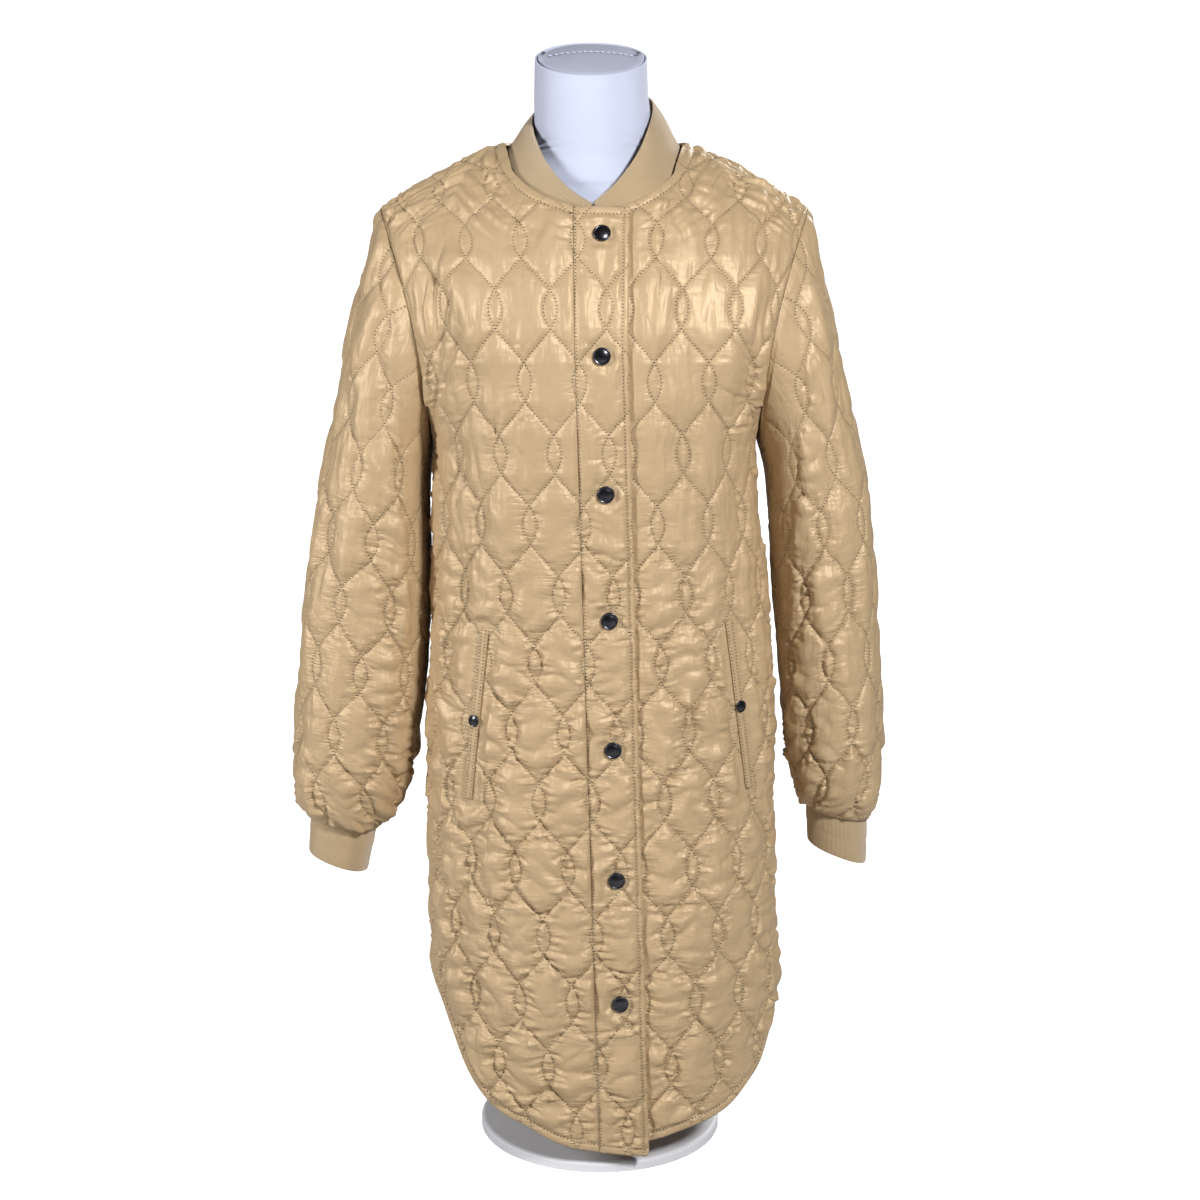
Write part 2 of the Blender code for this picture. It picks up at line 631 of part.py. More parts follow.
top_v = cloth("front", 0.001, TOP_Z)[1]
low_v = PLACKET_END
outline = [(-PLACKET / 2, v) for v in np.linspace(top_v, low_v[0], 46)]
outline += [(-0.010, low_v[0] - 0.0012), (0.010, low_v[1] + 0.0002), (PLACKET / 2 - 0.0035, low_v[1])]
outline += [(PLACKET / 2, v) for v in np.linspace(low_v[1] + 0.0035, top_v, 46)] + [(0.010, top_v - 0.0006)]
outline += [(-0.010, top_v - 0.0006)]
panel("placket", body_shape("front"), outline, quilt(RIGHT_PHASE, LENS_ROW_Z, -0.03, 0.03, 0.0, 0.95),
      [], snap_calm, no_sink, 0.030, TAFFETA, spots=[(0.0, v) for v in SNAP_V])


# Sleeves
def sleeve_tables(side):
    rows = SLEEVES[side]
    sign = -1.0 if side == "right" else 1.0
    r = np.linspace(0.0, len(rows) - 1.0, 260)
    keys = np.arange(len(rows))
    ox, oz, ix, iz, front, back = [spline(keys, rows[:, k], r) for k in range(6)]
    middle = np.stack([(ox + ix) / 2, (oz + iz) / 2], 1)
    reach = np.stack([(ox - ix) / 2, (oz - iz) / 2], 1)
    paths, lengths = [], []
    for turn in np.linspace(-math.pi, math.pi, 2 * ARM_COUNT * 3 + 1):
        c, s = math.cos(turn), math.sin(turn)
        cc, ss = math.copysign(abs(c) ** 0.92, c), abs(s) ** 0.92
        y = np.where(s > 0, -front, back) * ss
        path = np.stack([sign * (middle[:, 0] + reach[:, 0] * cc), y, middle[:, 1] + reach[:, 1] * cc], 1)
        dx, z = arm_place(abs(turn))
        face = "front" if turn > 0 else "back"
        y_arm = float(depth(face, dx, z)) if abs(s) > 1e-9 else 0.0
        start = np.array([sign * dx + float(centre(z)), -y_arm if turn > 0 else y_arm, z])
        start[0] += sign * (GAP * 1.6 + max(0.0, -c) ** 2 * (2 * WALL + 0.0014))
        start[2] -= max(0.0, -c) ** 2 * 0.0030
        path += (start - path[0]) * (np.clip(1.0 - r / 1.6, 0.0, 1.0) ** 2)[:, None]
        path, total = resample(path[::-1], STEPS)
        paths.append(path)
        lengths.append(total)
    return np.array(paths), np.array(lengths)


def sleeve_shape(side):
    paths, lengths = sleeve_tables(side)
    turns = len(lengths) - 1

    def place(u, v):
        turn = (np.asarray(u, float) / SLEEVE_GIRTH + 0.5) % 1.0
        a = turn * turns
        long = np.interp(a, np.arange(turns + 1), lengths)
        return look_up(paths, a, np.asarray(v, float) / long * (STEPS - 1))

    def seam_normals(uv, own):
        """The sleeve's edge at the armhole faces the same way as the body's edge next to it."""
        out = own.copy()
        sign = -1.0 if side == "right" else 1.0
        for i in np.flatnonzero(uv[:, 1] > 0.2):
            turn = uv[i, 0] / SLEEVE_GIRTH * 2 * math.pi
            long = np.interp((uv[i, 0] / SLEEVE_GIRTH + 0.5) * turns, np.arange(turns + 1), lengths)
            share = float(smooth(-0.80, -0.45, math.cos(turn)))
            if uv[i, 1] < long - 0.001 or share == 0.0:
                continue
            dx, z = arm_place(abs(turn))
            face = "front" if turn > 0 else "back"
            u, v = cloth(face, sign * dx, z)
            _, base, way, _ = body_shape(face)
            n = normals(base, np.array([u]), np.array([v]), way)[0] * share + out[i] * (1.0 - share)
            out[i] = n / np.linalg.norm(n)
        return out

    outward = 1.0 if side == "right" else -1.0
    return (place, place, outward, seam_normals), lengths


for side, phase in (("right", 0.010), ("left", 0.004)):
    shape, lengths = sleeve_shape(side)
    turns = np.linspace(-1.0, 1.0, ARM_COUNT + 1)
    top = [(t * SLEEVE_GIRTH / 2, float(np.interp((t + 1) / 2 * (len(lengths) - 1),
            np.arange(len(lengths)), lengths))) for t in turns]
    end = [(t * SLEEVE_GIRTH / 2, 0.0) for t in np.linspace(-1.0, 1.0, 25)]
    rise = np.linspace(0.0, top[0][1], 16)[1:-1]
    outline = end + [(SLEEVE_GIRTH / 2, v) for v in rise] + top[::-1]
    outline += [(-SLEEVE_GIRTH / 2, v) for v in rise[::-1]]
    count = len(outline)
    first, second = len(end) - 1, len(end) + len(rise)
    third, fourth = second + len(top) - 1, count
    sides = {(i, i + 1) for i in range(first, second)}
    sides |= {(i, (i + 1) % count) for i in range(third, fourth)}

    def beside(p, sign=-1.0 if side == "right" else 1.0):
        return np.where(p[:, 0] * sign < 0.172, 0.2, 1.0) * smooth(0.0, 0.02, p[:, 2] - 0.30)

    panel("sleeve_" + side, shape, outline, quilt(phase, 0.030, -0.20, 0.20, 0.0, 0.60), [], beside, no_sink,
          0.036, TAFFETA, sides)


def tube(name, rings, closed, colour, roughness, metallic=0.0):
    """A wall from rows of rings: the rings run up the outside and down the inside."""
    count = len(rings[0])
    verts = [p for ring in rings for p in ring]
    faces = []
    total = len(rings)
    for i in range(total):
        for j in range(count if closed else count - 1):
            k = (j + 1) % count
            a, b = i * count, ((i + 1) % total) * count
            faces += [(a + j, a + k, b + k), (a + j, b + k, b + j)]
    if not closed:
        for j in (0, count - 1):
            cap = [i * count + j for i in range(total)]
            half_way = total // 2
            for i in range(half_way - 1):
                one, two = cap[i], cap[i + 1]
                three, four = cap[total - 2 - i], cap[total - 1 - i]
                faces += [(one, two, three), (one, three, four)]
    return node(name, verts, faces, colour, roughness, metallic)


# Cuffs, tucked just inside the gathered ends of the sleeves
for side in ("right", "left"):
    sign = -1.0 if side == "right" else 1.0
    ox, oz, ix, iz, front, back = SLEEVES[side][-1]
    bx, bz, jx, jz, deep = CUFF_END[side]
    rings = []
    levels = ((-0.03, 0.0), (0.34, 0.0006), (0.68, 0.0004), (0.97, 0.0), (1.0, -0.0006))
    for level, bulge in levels + tuple((a, b - RIB_WALL) for a, b in levels[::-1]):
        x1, z1 = ox + (bx - ox) * level, oz + (bz - oz) * level
        x2, z2 = ix + (jx - ix) * level, iz + (jz - iz) * level
        d = front + (deep - front) * level
        shrink = GAP * 1.5 - bulge
        half_x, half_z = (x1 - x2) / 2, (z1 - z2) / 2
        size = math.hypot(half_x, half_z)
        ring = []
        for turn in np.linspace(-math.pi, math.pi, 25)[:-1]:
            c, s = math.cos(turn), math.sin(turn)
            cc, ss = math.copysign(abs(c) ** 0.92, c), math.copysign(abs(s) ** 0.92, s)
            part = cc * (size - shrink) / size
            ring.append((sign * ((x1 + x2) / 2 + half_x * part), -(d - shrink) * ss,
                         (z1 + z2) / 2 + half_z * part))
        rings.append(ring)
    tube("cuff_" + side, rings, True, RIB, 0.9)

# Rib collar, an open band whose ends meet in a small V
half_turn = np.concatenate([[math.radians(3.5)], NECK_ANGLES[1:], math.pi - NECK_ANGLES[::-1][1:]])
stations = np.concatenate([half_turn, 2 * math.pi - half_turn[::-1][1:]])
profile = ((0.0, 0.0), (0.30, 0.020), (0.7, 0.045), (1.0, 0.0))
outer_rows = [[] for _ in profile]
inner_rows = [[] for _ in profile]
for turn in stations:
    angle = turn if turn <= math.pi else 2 * math.pi - turn
    sign = 1.0 if turn <= math.pi else -1.0
    face = "front" if angle <= math.pi / 2 else "back"
    dx, z = neck_place(face, angle if face == "front" else math.pi - angle)
    y = float(depth(face, dx, z))
    base = np.array([sign * dx - 0.005, -y if face == "front" else y, z])
    centre_line = np.array([-0.005, -0.012, z])
    inward = centre_line - base
    base = base + inward / np.linalg.norm(inward) * (GAP * 2.0 + 0.0016 * float(smooth(0.8, 1.6, angle)))
    base[2] += 0.0006 + 0.0022 * math.sin(min(angle, math.pi / 2))
    degrees = math.degrees(angle)
    edge = np.array([sign * spline(COLLAR[:, 0], COLLAR[:, 1], degrees) - 0.0065,
                     spline(COLLAR[:, 0], COLLAR[:, 2], degrees), spline(COLLAR[:, 0], COLLAR[:, 3], degrees)])
    edge[2] += 0.11 * (edge[0] + 0.0065)
    rise = edge - base
    around = np.array([math.cos(turn), math.sin(turn), 0.0])
    out = np.cross(around, rise)
    out /= np.linalg.norm(out)
    if out @ (base - centre_line) < 0:
        out = -out
    for k, (t, bow) in enumerate(profile):
        p = base + rise * t + out * bow * np.linalg.norm(rise)
        thick = RIB_WALL * min(1.0, 0.55 + 0.45 * angle / 0.4)
        outer_rows[k].append(p)
        inner_rows[k].append(p - out * thick)
tube("collar", outer_rows + inner_rows[::-1], False, RIB, 0.9)


# Pocket welts: narrow folded strips along the steep pocket mouths
front_place, front_base, front_out, _ = body_shape("front")
welt_spot = {}
for side in ("right", "left"):
    x1, z1, x2, z2 = WELT[side]
    outer, inner = [[], []], [[], []]
    for t in np.linspace(0.0, 1.0, 12):
        z = z1 + (z2 - z1) * t
        u, v = cloth("front", x1 + (x2 - x1) * t - float(centre(z)), z)
        for k, off in enumerate((-WELT_WIDTH / 2, WELT_WIDTH / 2)):
            uu, vv = np.array([u + off]), np.array([v])
            p = front_place(uu, vv)[0]
            n = normals(front_base, uu, vv, front_out)[0]
            lift = WALL + GAP + 0.0005
            inner[k].append(p + n * lift)
            outer[k].append(p + n * (lift + 0.0022))
    tube("welt_" + side, [outer[0], outer[1], inner[1], inner[0]], False, TAFFETA, 0.38)
    z = WELT_SNAP_Z[side]
    t = (z1 - z) / (z1 - z2)
    u, v = cloth("front", x1 + (x2 - x1) * t - float(centre(z)), z)
    uu, vv = np.array([u]), np.array([v])
    n = normals(front_base, uu, vv, front_out)[0]
    welt_spot[side] = (front_place(uu, vv)[0] + n * (WALL + GAP * 2.0 + 0.0005 + 0.0022), n)


def snap(name, at, normal, radius):
    """A domed cap turned round its own axis."""
    profile = ((0.0, 0.0), (0.93, 0.0), (1.0, 0.06), (0.97, 0.15), (0.72, 0.27), (0.36, 0.33), (0.0, 0.34))
    bm = bmesh.new()
    line = [bm.verts.new((r * radius, 0.0, h * radius)) for r, h in profile]
    edges = [bm.edges.new((a, b)) for a, b in zip(line, line[1:])]
    bmesh.ops.spin(bm, geom=line + edges, axis=(0, 0, 1), cent=(0, 0, 0), steps=14, angle=2 * math.pi,
                   use_duplicate=False)
    bmesh.ops.remove_doubles(bm, verts=bm.verts, dist=0.00005)
    verts = [tuple(v.co) for v in bm.verts]
    faces = [tuple(v.index for v in f.verts) for f in bm.faces]
    bm.free()
    made = node(name, verts, faces, GUNMETAL, 0.25, 0.9)
    made.location = at
    z_axis = np.array(normal)
    made.rotation_euler = (math.acos(z_axis[2]), 0.0, math.atan2(z_axis[0], -z_axis[1]))
    return made


for number, v in enumerate(SNAP_V, 1):
    uu, vv = np.array([0.0]), np.array([v])
    n = normals(front_base, uu, vv, front_out)[0]
    snap("snap_%d" % number, front_place(uu, vv)[0] + n * (WALL + GAP + 0.0006), n, SNAP_R)
for side in ("right", "left"):
    snap("pocket_snap_" + side, welt_spot[side][0], welt_spot[side][1], POCKET_SNAP_R)

# Dress form: height, half width, share of the coat's depth
TORSO = np.array([
    (0.300, 0.128, 0.82), (0.306, 0.136, 0.86), (0.33, 0.141, 0.88), (0.40, 0.138, 0.87), (0.48, 0.122, 0.84),
    (0.55, 0.112, 0.82), (0.61, 0.117, 0.84), (0.68, 0.131, 0.88), (0.75, 0.145, 0.88), (0.81, 0.155, 0.86),
    (0.85, 0.161, 0.78),
])
# Neck: height, half width, front depth, back depth
NECK = np.array([
    (0.860, 0.054, 0.056, 0.048), (0.900, 0.055, 0.056, 0.048), (0.931, 0.0600, 0.056, 0.048),
    (0.940, 0.0545, 0.056, 0.049), (0.950, 0.0515, 0.056, 0.050), (0.964, 0.0503, 0.056, 0.051),
    (0.980, 0.0500, 0.056, 0.0515), (1.000, 0.0500, 0.056, 0.0515),
])
CAP_TILT = 0.36
rings = []
form_turns = np.linspace(0.0, 2 * math.pi, 37)[:-1]
levels = [(z, w, k, 0) for z, w, k in TORSO]
for dx in (0.165, 0.1515, 0.138, 0.124, 0.110, 0.095):
    levels.append((float(ridge(dx)), dx, 0.70, 1))
levels.append((0.9235, 0.074, 0.50, 0))
for z, half, share, ridge_ring in levels:
    ring = []
    for turn in form_turns:
        c, s = math.cos(turn), math.sin(turn)
        face = "front" if s < 0 else "back"
        x = half * c
        y = share * float(depth(face, x, z))
        if not ridge_ring:
            y *= max(0.0, 1.0 - abs(c) ** 5) ** 0.2
        if z > 0.84:
            nw, nf, nb = [float(spline(NECK[:, 0], NECK[:, k], z)) for k in (1, 2, 3)]
            neck_y = (nf if s < 0 else nb) * math.sqrt(max(0.0, 1.0 - min(1.0, abs(x / 0.054)) ** 2))
            y = (y ** 5 + (neck_y * float(smooth(0.84, 0.90, z))) ** 5) ** 0.2
        if abs(s) < 1e-9:
            y = 0.0
        drop = GAP * 1.3 if ridge_ring else 0.0
        ring.append((x + float(centre(z)), -y if s < 0 else y, z - drop))
    rings.append(ring)
for z, half, front, back in NECK[2:]:
    ring = []
    for turn in form_turns:
        c, s = math.cos(turn), math.sin(turn)
        y = s * (front if s < 0 else back)
        slope = CAP_TILT * float(smooth(0.955, 1.0, z))
        ring.append((half * c - 0.008 + 0.003 * float(smooth(0.96, 0.93, z)), y, z + slope * (y + 0.002)))
    rings.append(ring)
count = len(form_turns)
verts = [p for ring in rings for p in ring]
faces = []
for i in range(len(rings) - 1):
    for j in range(count):
        k = (j + 1) % count
        a, b = i * count, (i + 1) * count
        faces += [(a + j, a + k, b + k), (a + j, b + k, b + j)]
last = (len(rings) - 1) * count
for ring, start in ((rings[0], 0), (rings[-1], last)):
    verts.append(tuple(np.mean(ring, axis=0)))
    faces += [(start + j, start + (j + 1) % count, len(verts) - 1) for j in range(count)]
node("form_torso", verts, faces, WHITE, 0.7)

# Neck cap: a shallow dome on the tilted top of the neck
verts, faces = [], []
z, half, front, back = NECK[-1]
shells = ((1.0, GAP), (1.0, 0.0022), (0.93, 0.0040), (0.60, 0.0058))
for size, lift in shells:
    for turn in form_turns[::2]:
        c, s = math.cos(turn), math.sin(turn)
        y = s * (front if s < 0 else back) * size
        verts.append((half * c * size - 0.008, y - CAP_TILT * lift, z + CAP_TILT * (y + 0.002) + lift))
count = len(form_turns[::2])
for i in range(len(shells) - 1):
    for j in range(count):
        k = (j + 1) % count
        a, b = i * count, (i + 1) * count
        faces += [(a + j, a + k, b + k), (a + j, b + k, b + j)]
for start, lift in ((0, GAP), ((len(shells) - 1) * count, 0.0064)):
    verts.append((-0.008, -CAP_TILT * lift, z + CAP_TILT * 0.002 + lift))
    faces += [(start + j, start + (j + 1) % count, len(verts) - 1) for j in range(count)]
node("form_cap", verts, faces, WHITE, 0.6)

# Pole and base plate
BASE_R, BASE_H, POLE_R = 0.115, 0.010, 0.013
bm = bmesh.new()
bmesh.ops.create_cone(bm, cap_ends=True, segments=48, radius1=BASE_R, radius2=BASE_R, depth=BASE_H)
rim = [e for e in bm.edges if all(v.co.z > 0 for v in e.verts)]
bmesh.ops.bevel(bm, geom=rim, offset=0.003, segments=2, affect="EDGES", profile=0.5)
verts = [(v.co.x, v.co.y, v.co.z) for v in bm.verts]
faces = [tuple(v.index for v in f.verts) for f in bm.faces]
bm.free()
base = node("stand_base", verts, faces, WHITE, 0.4, 0.0, False)
base.location = (0.0, 0.0, BASE_H / 2)
bm = bmesh.new()
long = 0.300 - BASE_H - 2 * GAP
bmesh.ops.create_cone(bm, cap_ends=True, segments=24, radius1=POLE_R, radius2=POLE_R, depth=long)
verts = [(v.co.x, v.co.y, v.co.z) for v in bm.verts]
faces = [tuple(v.index for v in f.verts) for f in bm.faces]
bm.free()
pole = node("stand_pole", verts, faces, WHITE, 0.4)
pole.location = (0.0, 0.0, BASE_H + GAP + long / 2)
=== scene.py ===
import math

import bmesh
import bpy
import numpy as np
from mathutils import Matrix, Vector


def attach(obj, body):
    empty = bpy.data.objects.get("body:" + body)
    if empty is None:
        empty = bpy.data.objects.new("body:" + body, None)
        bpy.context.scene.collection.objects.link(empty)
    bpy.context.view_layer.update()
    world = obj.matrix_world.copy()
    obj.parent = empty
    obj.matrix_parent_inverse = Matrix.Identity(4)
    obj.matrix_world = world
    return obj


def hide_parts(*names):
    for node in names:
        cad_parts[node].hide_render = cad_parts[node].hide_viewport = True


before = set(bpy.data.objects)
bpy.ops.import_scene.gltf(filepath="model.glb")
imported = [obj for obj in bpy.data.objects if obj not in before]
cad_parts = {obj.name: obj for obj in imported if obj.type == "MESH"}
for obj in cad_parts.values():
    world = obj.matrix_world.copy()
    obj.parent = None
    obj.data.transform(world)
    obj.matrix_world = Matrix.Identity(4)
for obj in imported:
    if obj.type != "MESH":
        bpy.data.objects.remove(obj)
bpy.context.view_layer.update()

# ---- Stand ----
# A round steel plate and a short steel pole hold the dress form up. Both are cut from stock,
# welded and powder coated white, which leaves a very fine pebbled skin.


def finish_of(name):
    """A new material with its node tree, its shader and its place on the object."""
    made = bpy.data.materials.new(name)
    made.use_nodes = True
    tree = made.node_tree
    return made, tree, tree.nodes["Principled BSDF"], tree.nodes.new("ShaderNodeTexCoord").outputs["Object"]


def reckon(tree, operation, *values):
    """One math node; each value is a number or another node's output."""
    made = tree.nodes.new("ShaderNodeMath")
    made.operation = operation
    for slot, value in zip(made.inputs, values):
        if isinstance(value, (int, float)):
            slot.default_value = value
        else:
            tree.links.new(value, slot)
    return made.outputs[0]


def stretched(tree, vector, scale, turn=0.0):
    """A set of coordinates, scaled and turned."""
    made = tree.nodes.new("ShaderNodeMapping")
    made.inputs["Scale"].default_value = scale
    made.inputs["Rotation"].default_value = (0.0, 0.0, turn)
    tree.links.new(vector, made.inputs["Vector"])
    return made.outputs["Vector"]


def speckle(tree, vector, scale, detail=3.0, stretch=(1.0, 1.0, 1.0)):
    """Noise on a set of coordinates, drawn out by the stretch."""
    grain = tree.nodes.new("ShaderNodeTexNoise")
    grain.inputs["Scale"].default_value = scale
    grain.inputs["Detail"].default_value = detail
    tree.links.new(stretched(tree, vector, stretch), grain.inputs["Vector"])
    return grain.outputs["Fac"]


def tones(tree, amount, first, second):
    """A colour between two, each a tone or another node's output, by an amount from 0 to 1."""
    mix = tree.nodes.new("ShaderNodeMix")
    mix.data_type = "RGBA"
    tree.links.new(amount, mix.inputs["Factor"])
    for slot, colour in (("A", first), ("B", second)):
        if isinstance(colour, tuple):
            mix.inputs[slot].default_value = (*colour, 1.0)
        else:
            tree.links.new(colour, mix.inputs[slot])
    return mix.outputs["Result"]


def relief(tree, shader, height, depth):
    """Bump from a height of 0 to 1, which stands for that depth in metres."""
    bump = tree.nodes.new("ShaderNodeBump")
    bump.inputs["Distance"].default_value = depth
    bump.inputs["Strength"].default_value = 1.0
    tree.links.new(height, bump.inputs["Height"])
    tree.links.new(bump.outputs["Normal"], shader.inputs["Normal"])


powder_coat, tree, shader, where = finish_of("white_powder_coat")
pebble = speckle(tree, where, 900.0)
tree.links.new(tones(tree, pebble, (0.70, 0.70, 0.74), (0.80, 0.80, 0.84)), shader.inputs["Base Color"])
tree.links.new(reckon(tree, "MULTIPLY_ADD", pebble, 0.15, 0.33), shader.inputs["Roughness"])
relief(tree, shader, pebble, 0.00012)
for part in ("stand_base", "stand_pole"):
    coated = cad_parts[part]
    coated.data.materials.clear()
    coated.data.materials.append(powder_coat)

# ---- Dress form ----
# A padded torso and neck covered in white jersey, slim enough for the coat to hang round it.
# The neck is cut off on a slope and closed with a cap in two halves, sewn across the middle.

SHOULDER_Z = 0.76        # above this height the coat turns in to its shoulder ridge
# The coat's own rings, which the form follows: height, half width, front, back, shift to +X
BODY = np.array([
    (-0.02, 0.1605, 0.128, 0.124, 0.0050), (0.08, 0.1610, 0.128, 0.124, 0.0050),
    (0.16, 0.1615, 0.129, 0.125, 0.0045), (0.24, 0.1598, 0.129, 0.126, 0.0022),
    (0.32, 0.1587, 0.127, 0.126, 0.0005), (0.42, 0.1580, 0.125, 0.122, 0.0010),
    (0.466, 0.1552, 0.123, 0.118, 0.0010), (0.55, 0.1495, 0.124, 0.116, -0.0010),
    (0.607, 0.1460, 0.127, 0.117, -0.0045), (0.668, 0.1445, 0.132, 0.120, -0.0050),
    (0.70, 0.1550, 0.134, 0.121, -0.0050), (0.73, 0.1680, 0.135, 0.122, -0.0050),
    (0.763, 0.1810, 0.135, 0.123, -0.0050), (0.807, 0.1930, 0.134, 0.122, -0.0050),
    (0.85, 0.2050, 0.133, 0.121, -0.0050), (0.97, 0.2200, 0.132, 0.120, -0.0050),
])
# Shoulder ridge: distance from the centre, height
RIDGE = np.array([
    (0.0, 0.954), (0.04, 0.944), (0.079, 0.9265), (0.110, 0.9145),
    (0.138, 0.901), (0.165, 0.886), (0.190, 0.870), (0.220, 0.848),
])
CORNER = 2.4             # squareness of the rings
FALL = {"front": 1.6, "back": 2.0}       # roundness of the slope up to the ridge


def ease(low, high, x):
    t = np.clip((x - low) / (high - low), 0.0, 1.0)
    return t * t * (3.0 - 2.0 * t)


def fair(xs, ys, x):
    """Fair curve through a table's rows."""
    xs, ys = np.asarray(xs, float), np.asarray(ys, float)
    x = np.clip(np.asarray(x, float), xs[0], xs[-1])
    slope = np.gradient(ys, xs)
    i = np.clip(np.searchsorted(xs, x, side="right") - 1, 0, len(xs) - 2)
    h = xs[i + 1] - xs[i]
    t = (x - xs[i]) / h
    first = (1 + 2 * t) * (1 - t) ** 2 * ys[i] + t * (1 - t) ** 2 * h * slope[i]
    return first + t * t * (3 - 2 * t) * ys[i + 1] + t * t * (t - 1) * h * slope[i + 1]


def middle(z):
    return fair(BODY[:, 0], BODY[:, 4], z)


def ridge(dx):
    return fair(RIDGE[:, 0], RIDGE[:, 1], np.abs(dx))


def depth(face, dx, z):
    """How far the coat's inside stands from the middle plane at a place in the front view."""
    half = fair(BODY[:, 0], BODY[:, 1], z)
    deep = fair(BODY[:, 0], BODY[:, 2 if face == "front" else 3], z)
    flat = np.clip(1.0 - (np.abs(dx) / half) ** CORNER, 0.0, 1.0) ** (1.0 / CORNER)
    rise = np.clip((z - SHOULDER_Z) / (ridge(dx) - SHOULDER_Z), 0.0, 1.0)
    return deep * flat * (1.0 - rise ** FALL[face]) ** (1.0 / FALL[face])


# Height, half width, share of the coat's depth; then the same on the shoulder ridge
TORSO = ((0.300, 0.128, 0.82), (0.306, 0.136, 0.86), (0.33, 0.141, 0.88), (0.40, 0.138, 0.87),
         (0.48, 0.122, 0.84), (0.55, 0.112, 0.82), (0.61, 0.117, 0.84), (0.68, 0.131, 0.88),
         (0.75, 0.145, 0.88), (0.81, 0.155, 0.86), (0.848, 0.161, 0.78), (0.869, 0.1645, 0.745))
RIDGE_STEPS = ((0.165, 0.70), (0.1515, 0.70), (0.138, 0.68), (0.124, 0.60), (0.110, 0.50),
               (0.095, 0.42))
# Neck: height, half width, front depth, back depth
NECK = np.array([
    (0.860, 0.0535, 0.056, 0.048), (0.900, 0.0535, 0.056, 0.048), (0.9320, 0.0530, 0.056, 0.0485),
    (0.9440, 0.0524, 0.056, 0.049), (0.9570, 0.0516, 0.056, 0.050), (0.9710, 0.0508, 0.056, 0.051),
    (0.9855, 0.0503, 0.056, 0.0515), (1.000, 0.0500, 0.056, 0.0515),
])
NECK_SHIFT = -0.008      # the top of the neck leans a little to -X
CAP_TILT = 0.36          # slope of the neck's cut top
CAP_RISE = 0.0062        # height of the cap's dome
GAP = 0.0003             # between pieces that are sewn together or lie on each other


def form_ring(turns, z, half, share, on_ridge):
    """A ring of the torso inside the coat, drawn in to the neck above the shoulders."""
    ring = []
    for turn in turns:
        c, s = math.cos(turn), math.sin(turn)
        x = half * c
        y = share * float(depth("front" if s < 0 else "back", x, z))
        if not on_ridge:
            y *= max(0.0, 1.0 - abs(c) ** 5) ** 0.2
        if z > 0.84:
            neck_half, front, back = [float(fair(NECK[:, 0], NECK[:, k], z)) for k in (1, 2, 3)]
            beside = max(0.0, 1.0 - min(1.0, abs(x / neck_half)) ** 2)
            neck_y = (front if s < 0 else back) * math.sqrt(beside) * float(ease(0.84, 0.90, z))
            y = (y ** 5 + neck_y ** 5) ** 0.2
        if abs(s) < 1e-9:
            y = 0.0
        drop = GAP * 1.3 if on_ridge else 0.0
        ring.append((x + float(middle(z)), -y if s < 0 else y, z - drop))
    return ring


def neck_ring(turns, z, half, front, back, size=1.0, lift=0.0):
    """A ring of the neck; its top slopes down to the front."""
    slope = CAP_TILT * float(ease(0.955, 1.0, z))
    x0 = -0.005 - 0.003 * float(ease(0.920, 0.980, z))
    ring = []
    for turn in turns:
        y = math.sin(turn) * (front if math.sin(turn) < 0 else back) * size
        ring.append((half * size * math.cos(turn) + x0, y - slope * lift, z + slope * (y + 0.002) + lift))
    return ring


def piece(name, bm, material, replaced=()):
    """Turns a bmesh into a piece of the object that rides with it."""
    mesh = bpy.data.meshes.new(name)
    bm.to_mesh(mesh)
    bm.free()
    mesh.materials.append(material)
    made = bpy.data.objects.new(name, mesh)
    bpy.context.scene.collection.objects.link(made)
    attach(made, "root")
    if replaced:
        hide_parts(*replaced)
    return made


def outward(bm):
    """Merged and with every face turned out."""
    bmesh.ops.remove_doubles(bm, verts=bm.verts, dist=0.000001)
    bmesh.ops.recalc_face_normals(bm, faces=bm.faces)
    if bm.calc_volume(signed=True) < 0.0:
        bmesh.ops.reverse_faces(bm, faces=bm.faces)


def loft(rings):
    """A skin through closed rings of points, drawn from a flat grid, with both ends filled."""
    rings = np.array(rings)
    rows, columns = rings.shape[:2]
    bm = bmesh.new()
    bmesh.ops.create_grid(bm, x_segments=columns, y_segments=rows - 1, size=0.5)
    for vert in bm.verts:
        i, j = round((vert.co.y + 0.5) * (rows - 1)), round((vert.co.x + 0.5) * columns)
        vert.co = rings[i, j % columns]
    bmesh.ops.remove_doubles(bm, verts=bm.verts, dist=0.000001)
    for face in bm.faces:
        face.smooth = True
    bmesh.ops.holes_fill(bm, edges=[e for e in bm.edges if e.is_boundary], sides=0)
    outward(bm)
    return bm


jersey, tree, shader, where = finish_of("white_jersey")
shade = speckle(tree, where, 14.0)
knit = speckle(tree, where, 1400.0, 1.0, (1.0, 1.0, 0.35))
tree.links.new(tones(tree, shade, (0.51, 0.55, 0.69), (0.56, 0.60, 0.74)), shader.inputs["Base Color"])
shader.inputs["Roughness"].default_value = 0.75
shader.inputs["Sheen Weight"].default_value = 0.25
relief(tree, shader, knit, 0.0001)

form_turns = np.linspace(0.0, 2 * math.pi, 73)[:-1]
levels = [form_ring(form_turns, *row, False) for row in TORSO]
levels += [form_ring(form_turns, float(ridge(dx)), dx, share, True) for dx, share in RIDGE_STEPS]
levels.append(form_ring(form_turns, 0.9245, 0.068, 0.42, False))
levels += [neck_ring(form_turns, *row) for row in NECK[2:]]
levels = np.array(levels)
keys = np.arange(len(levels))
dense = np.linspace(0.0, len(levels) - 1.0, 100)
flat_levels = levels.reshape(len(levels), -1)
rings = np.array([fair(keys, flat_levels[:, k], dense) for k in range(flat_levels.shape[1])]).T
rings = rings.reshape(len(dense), -1, 3)
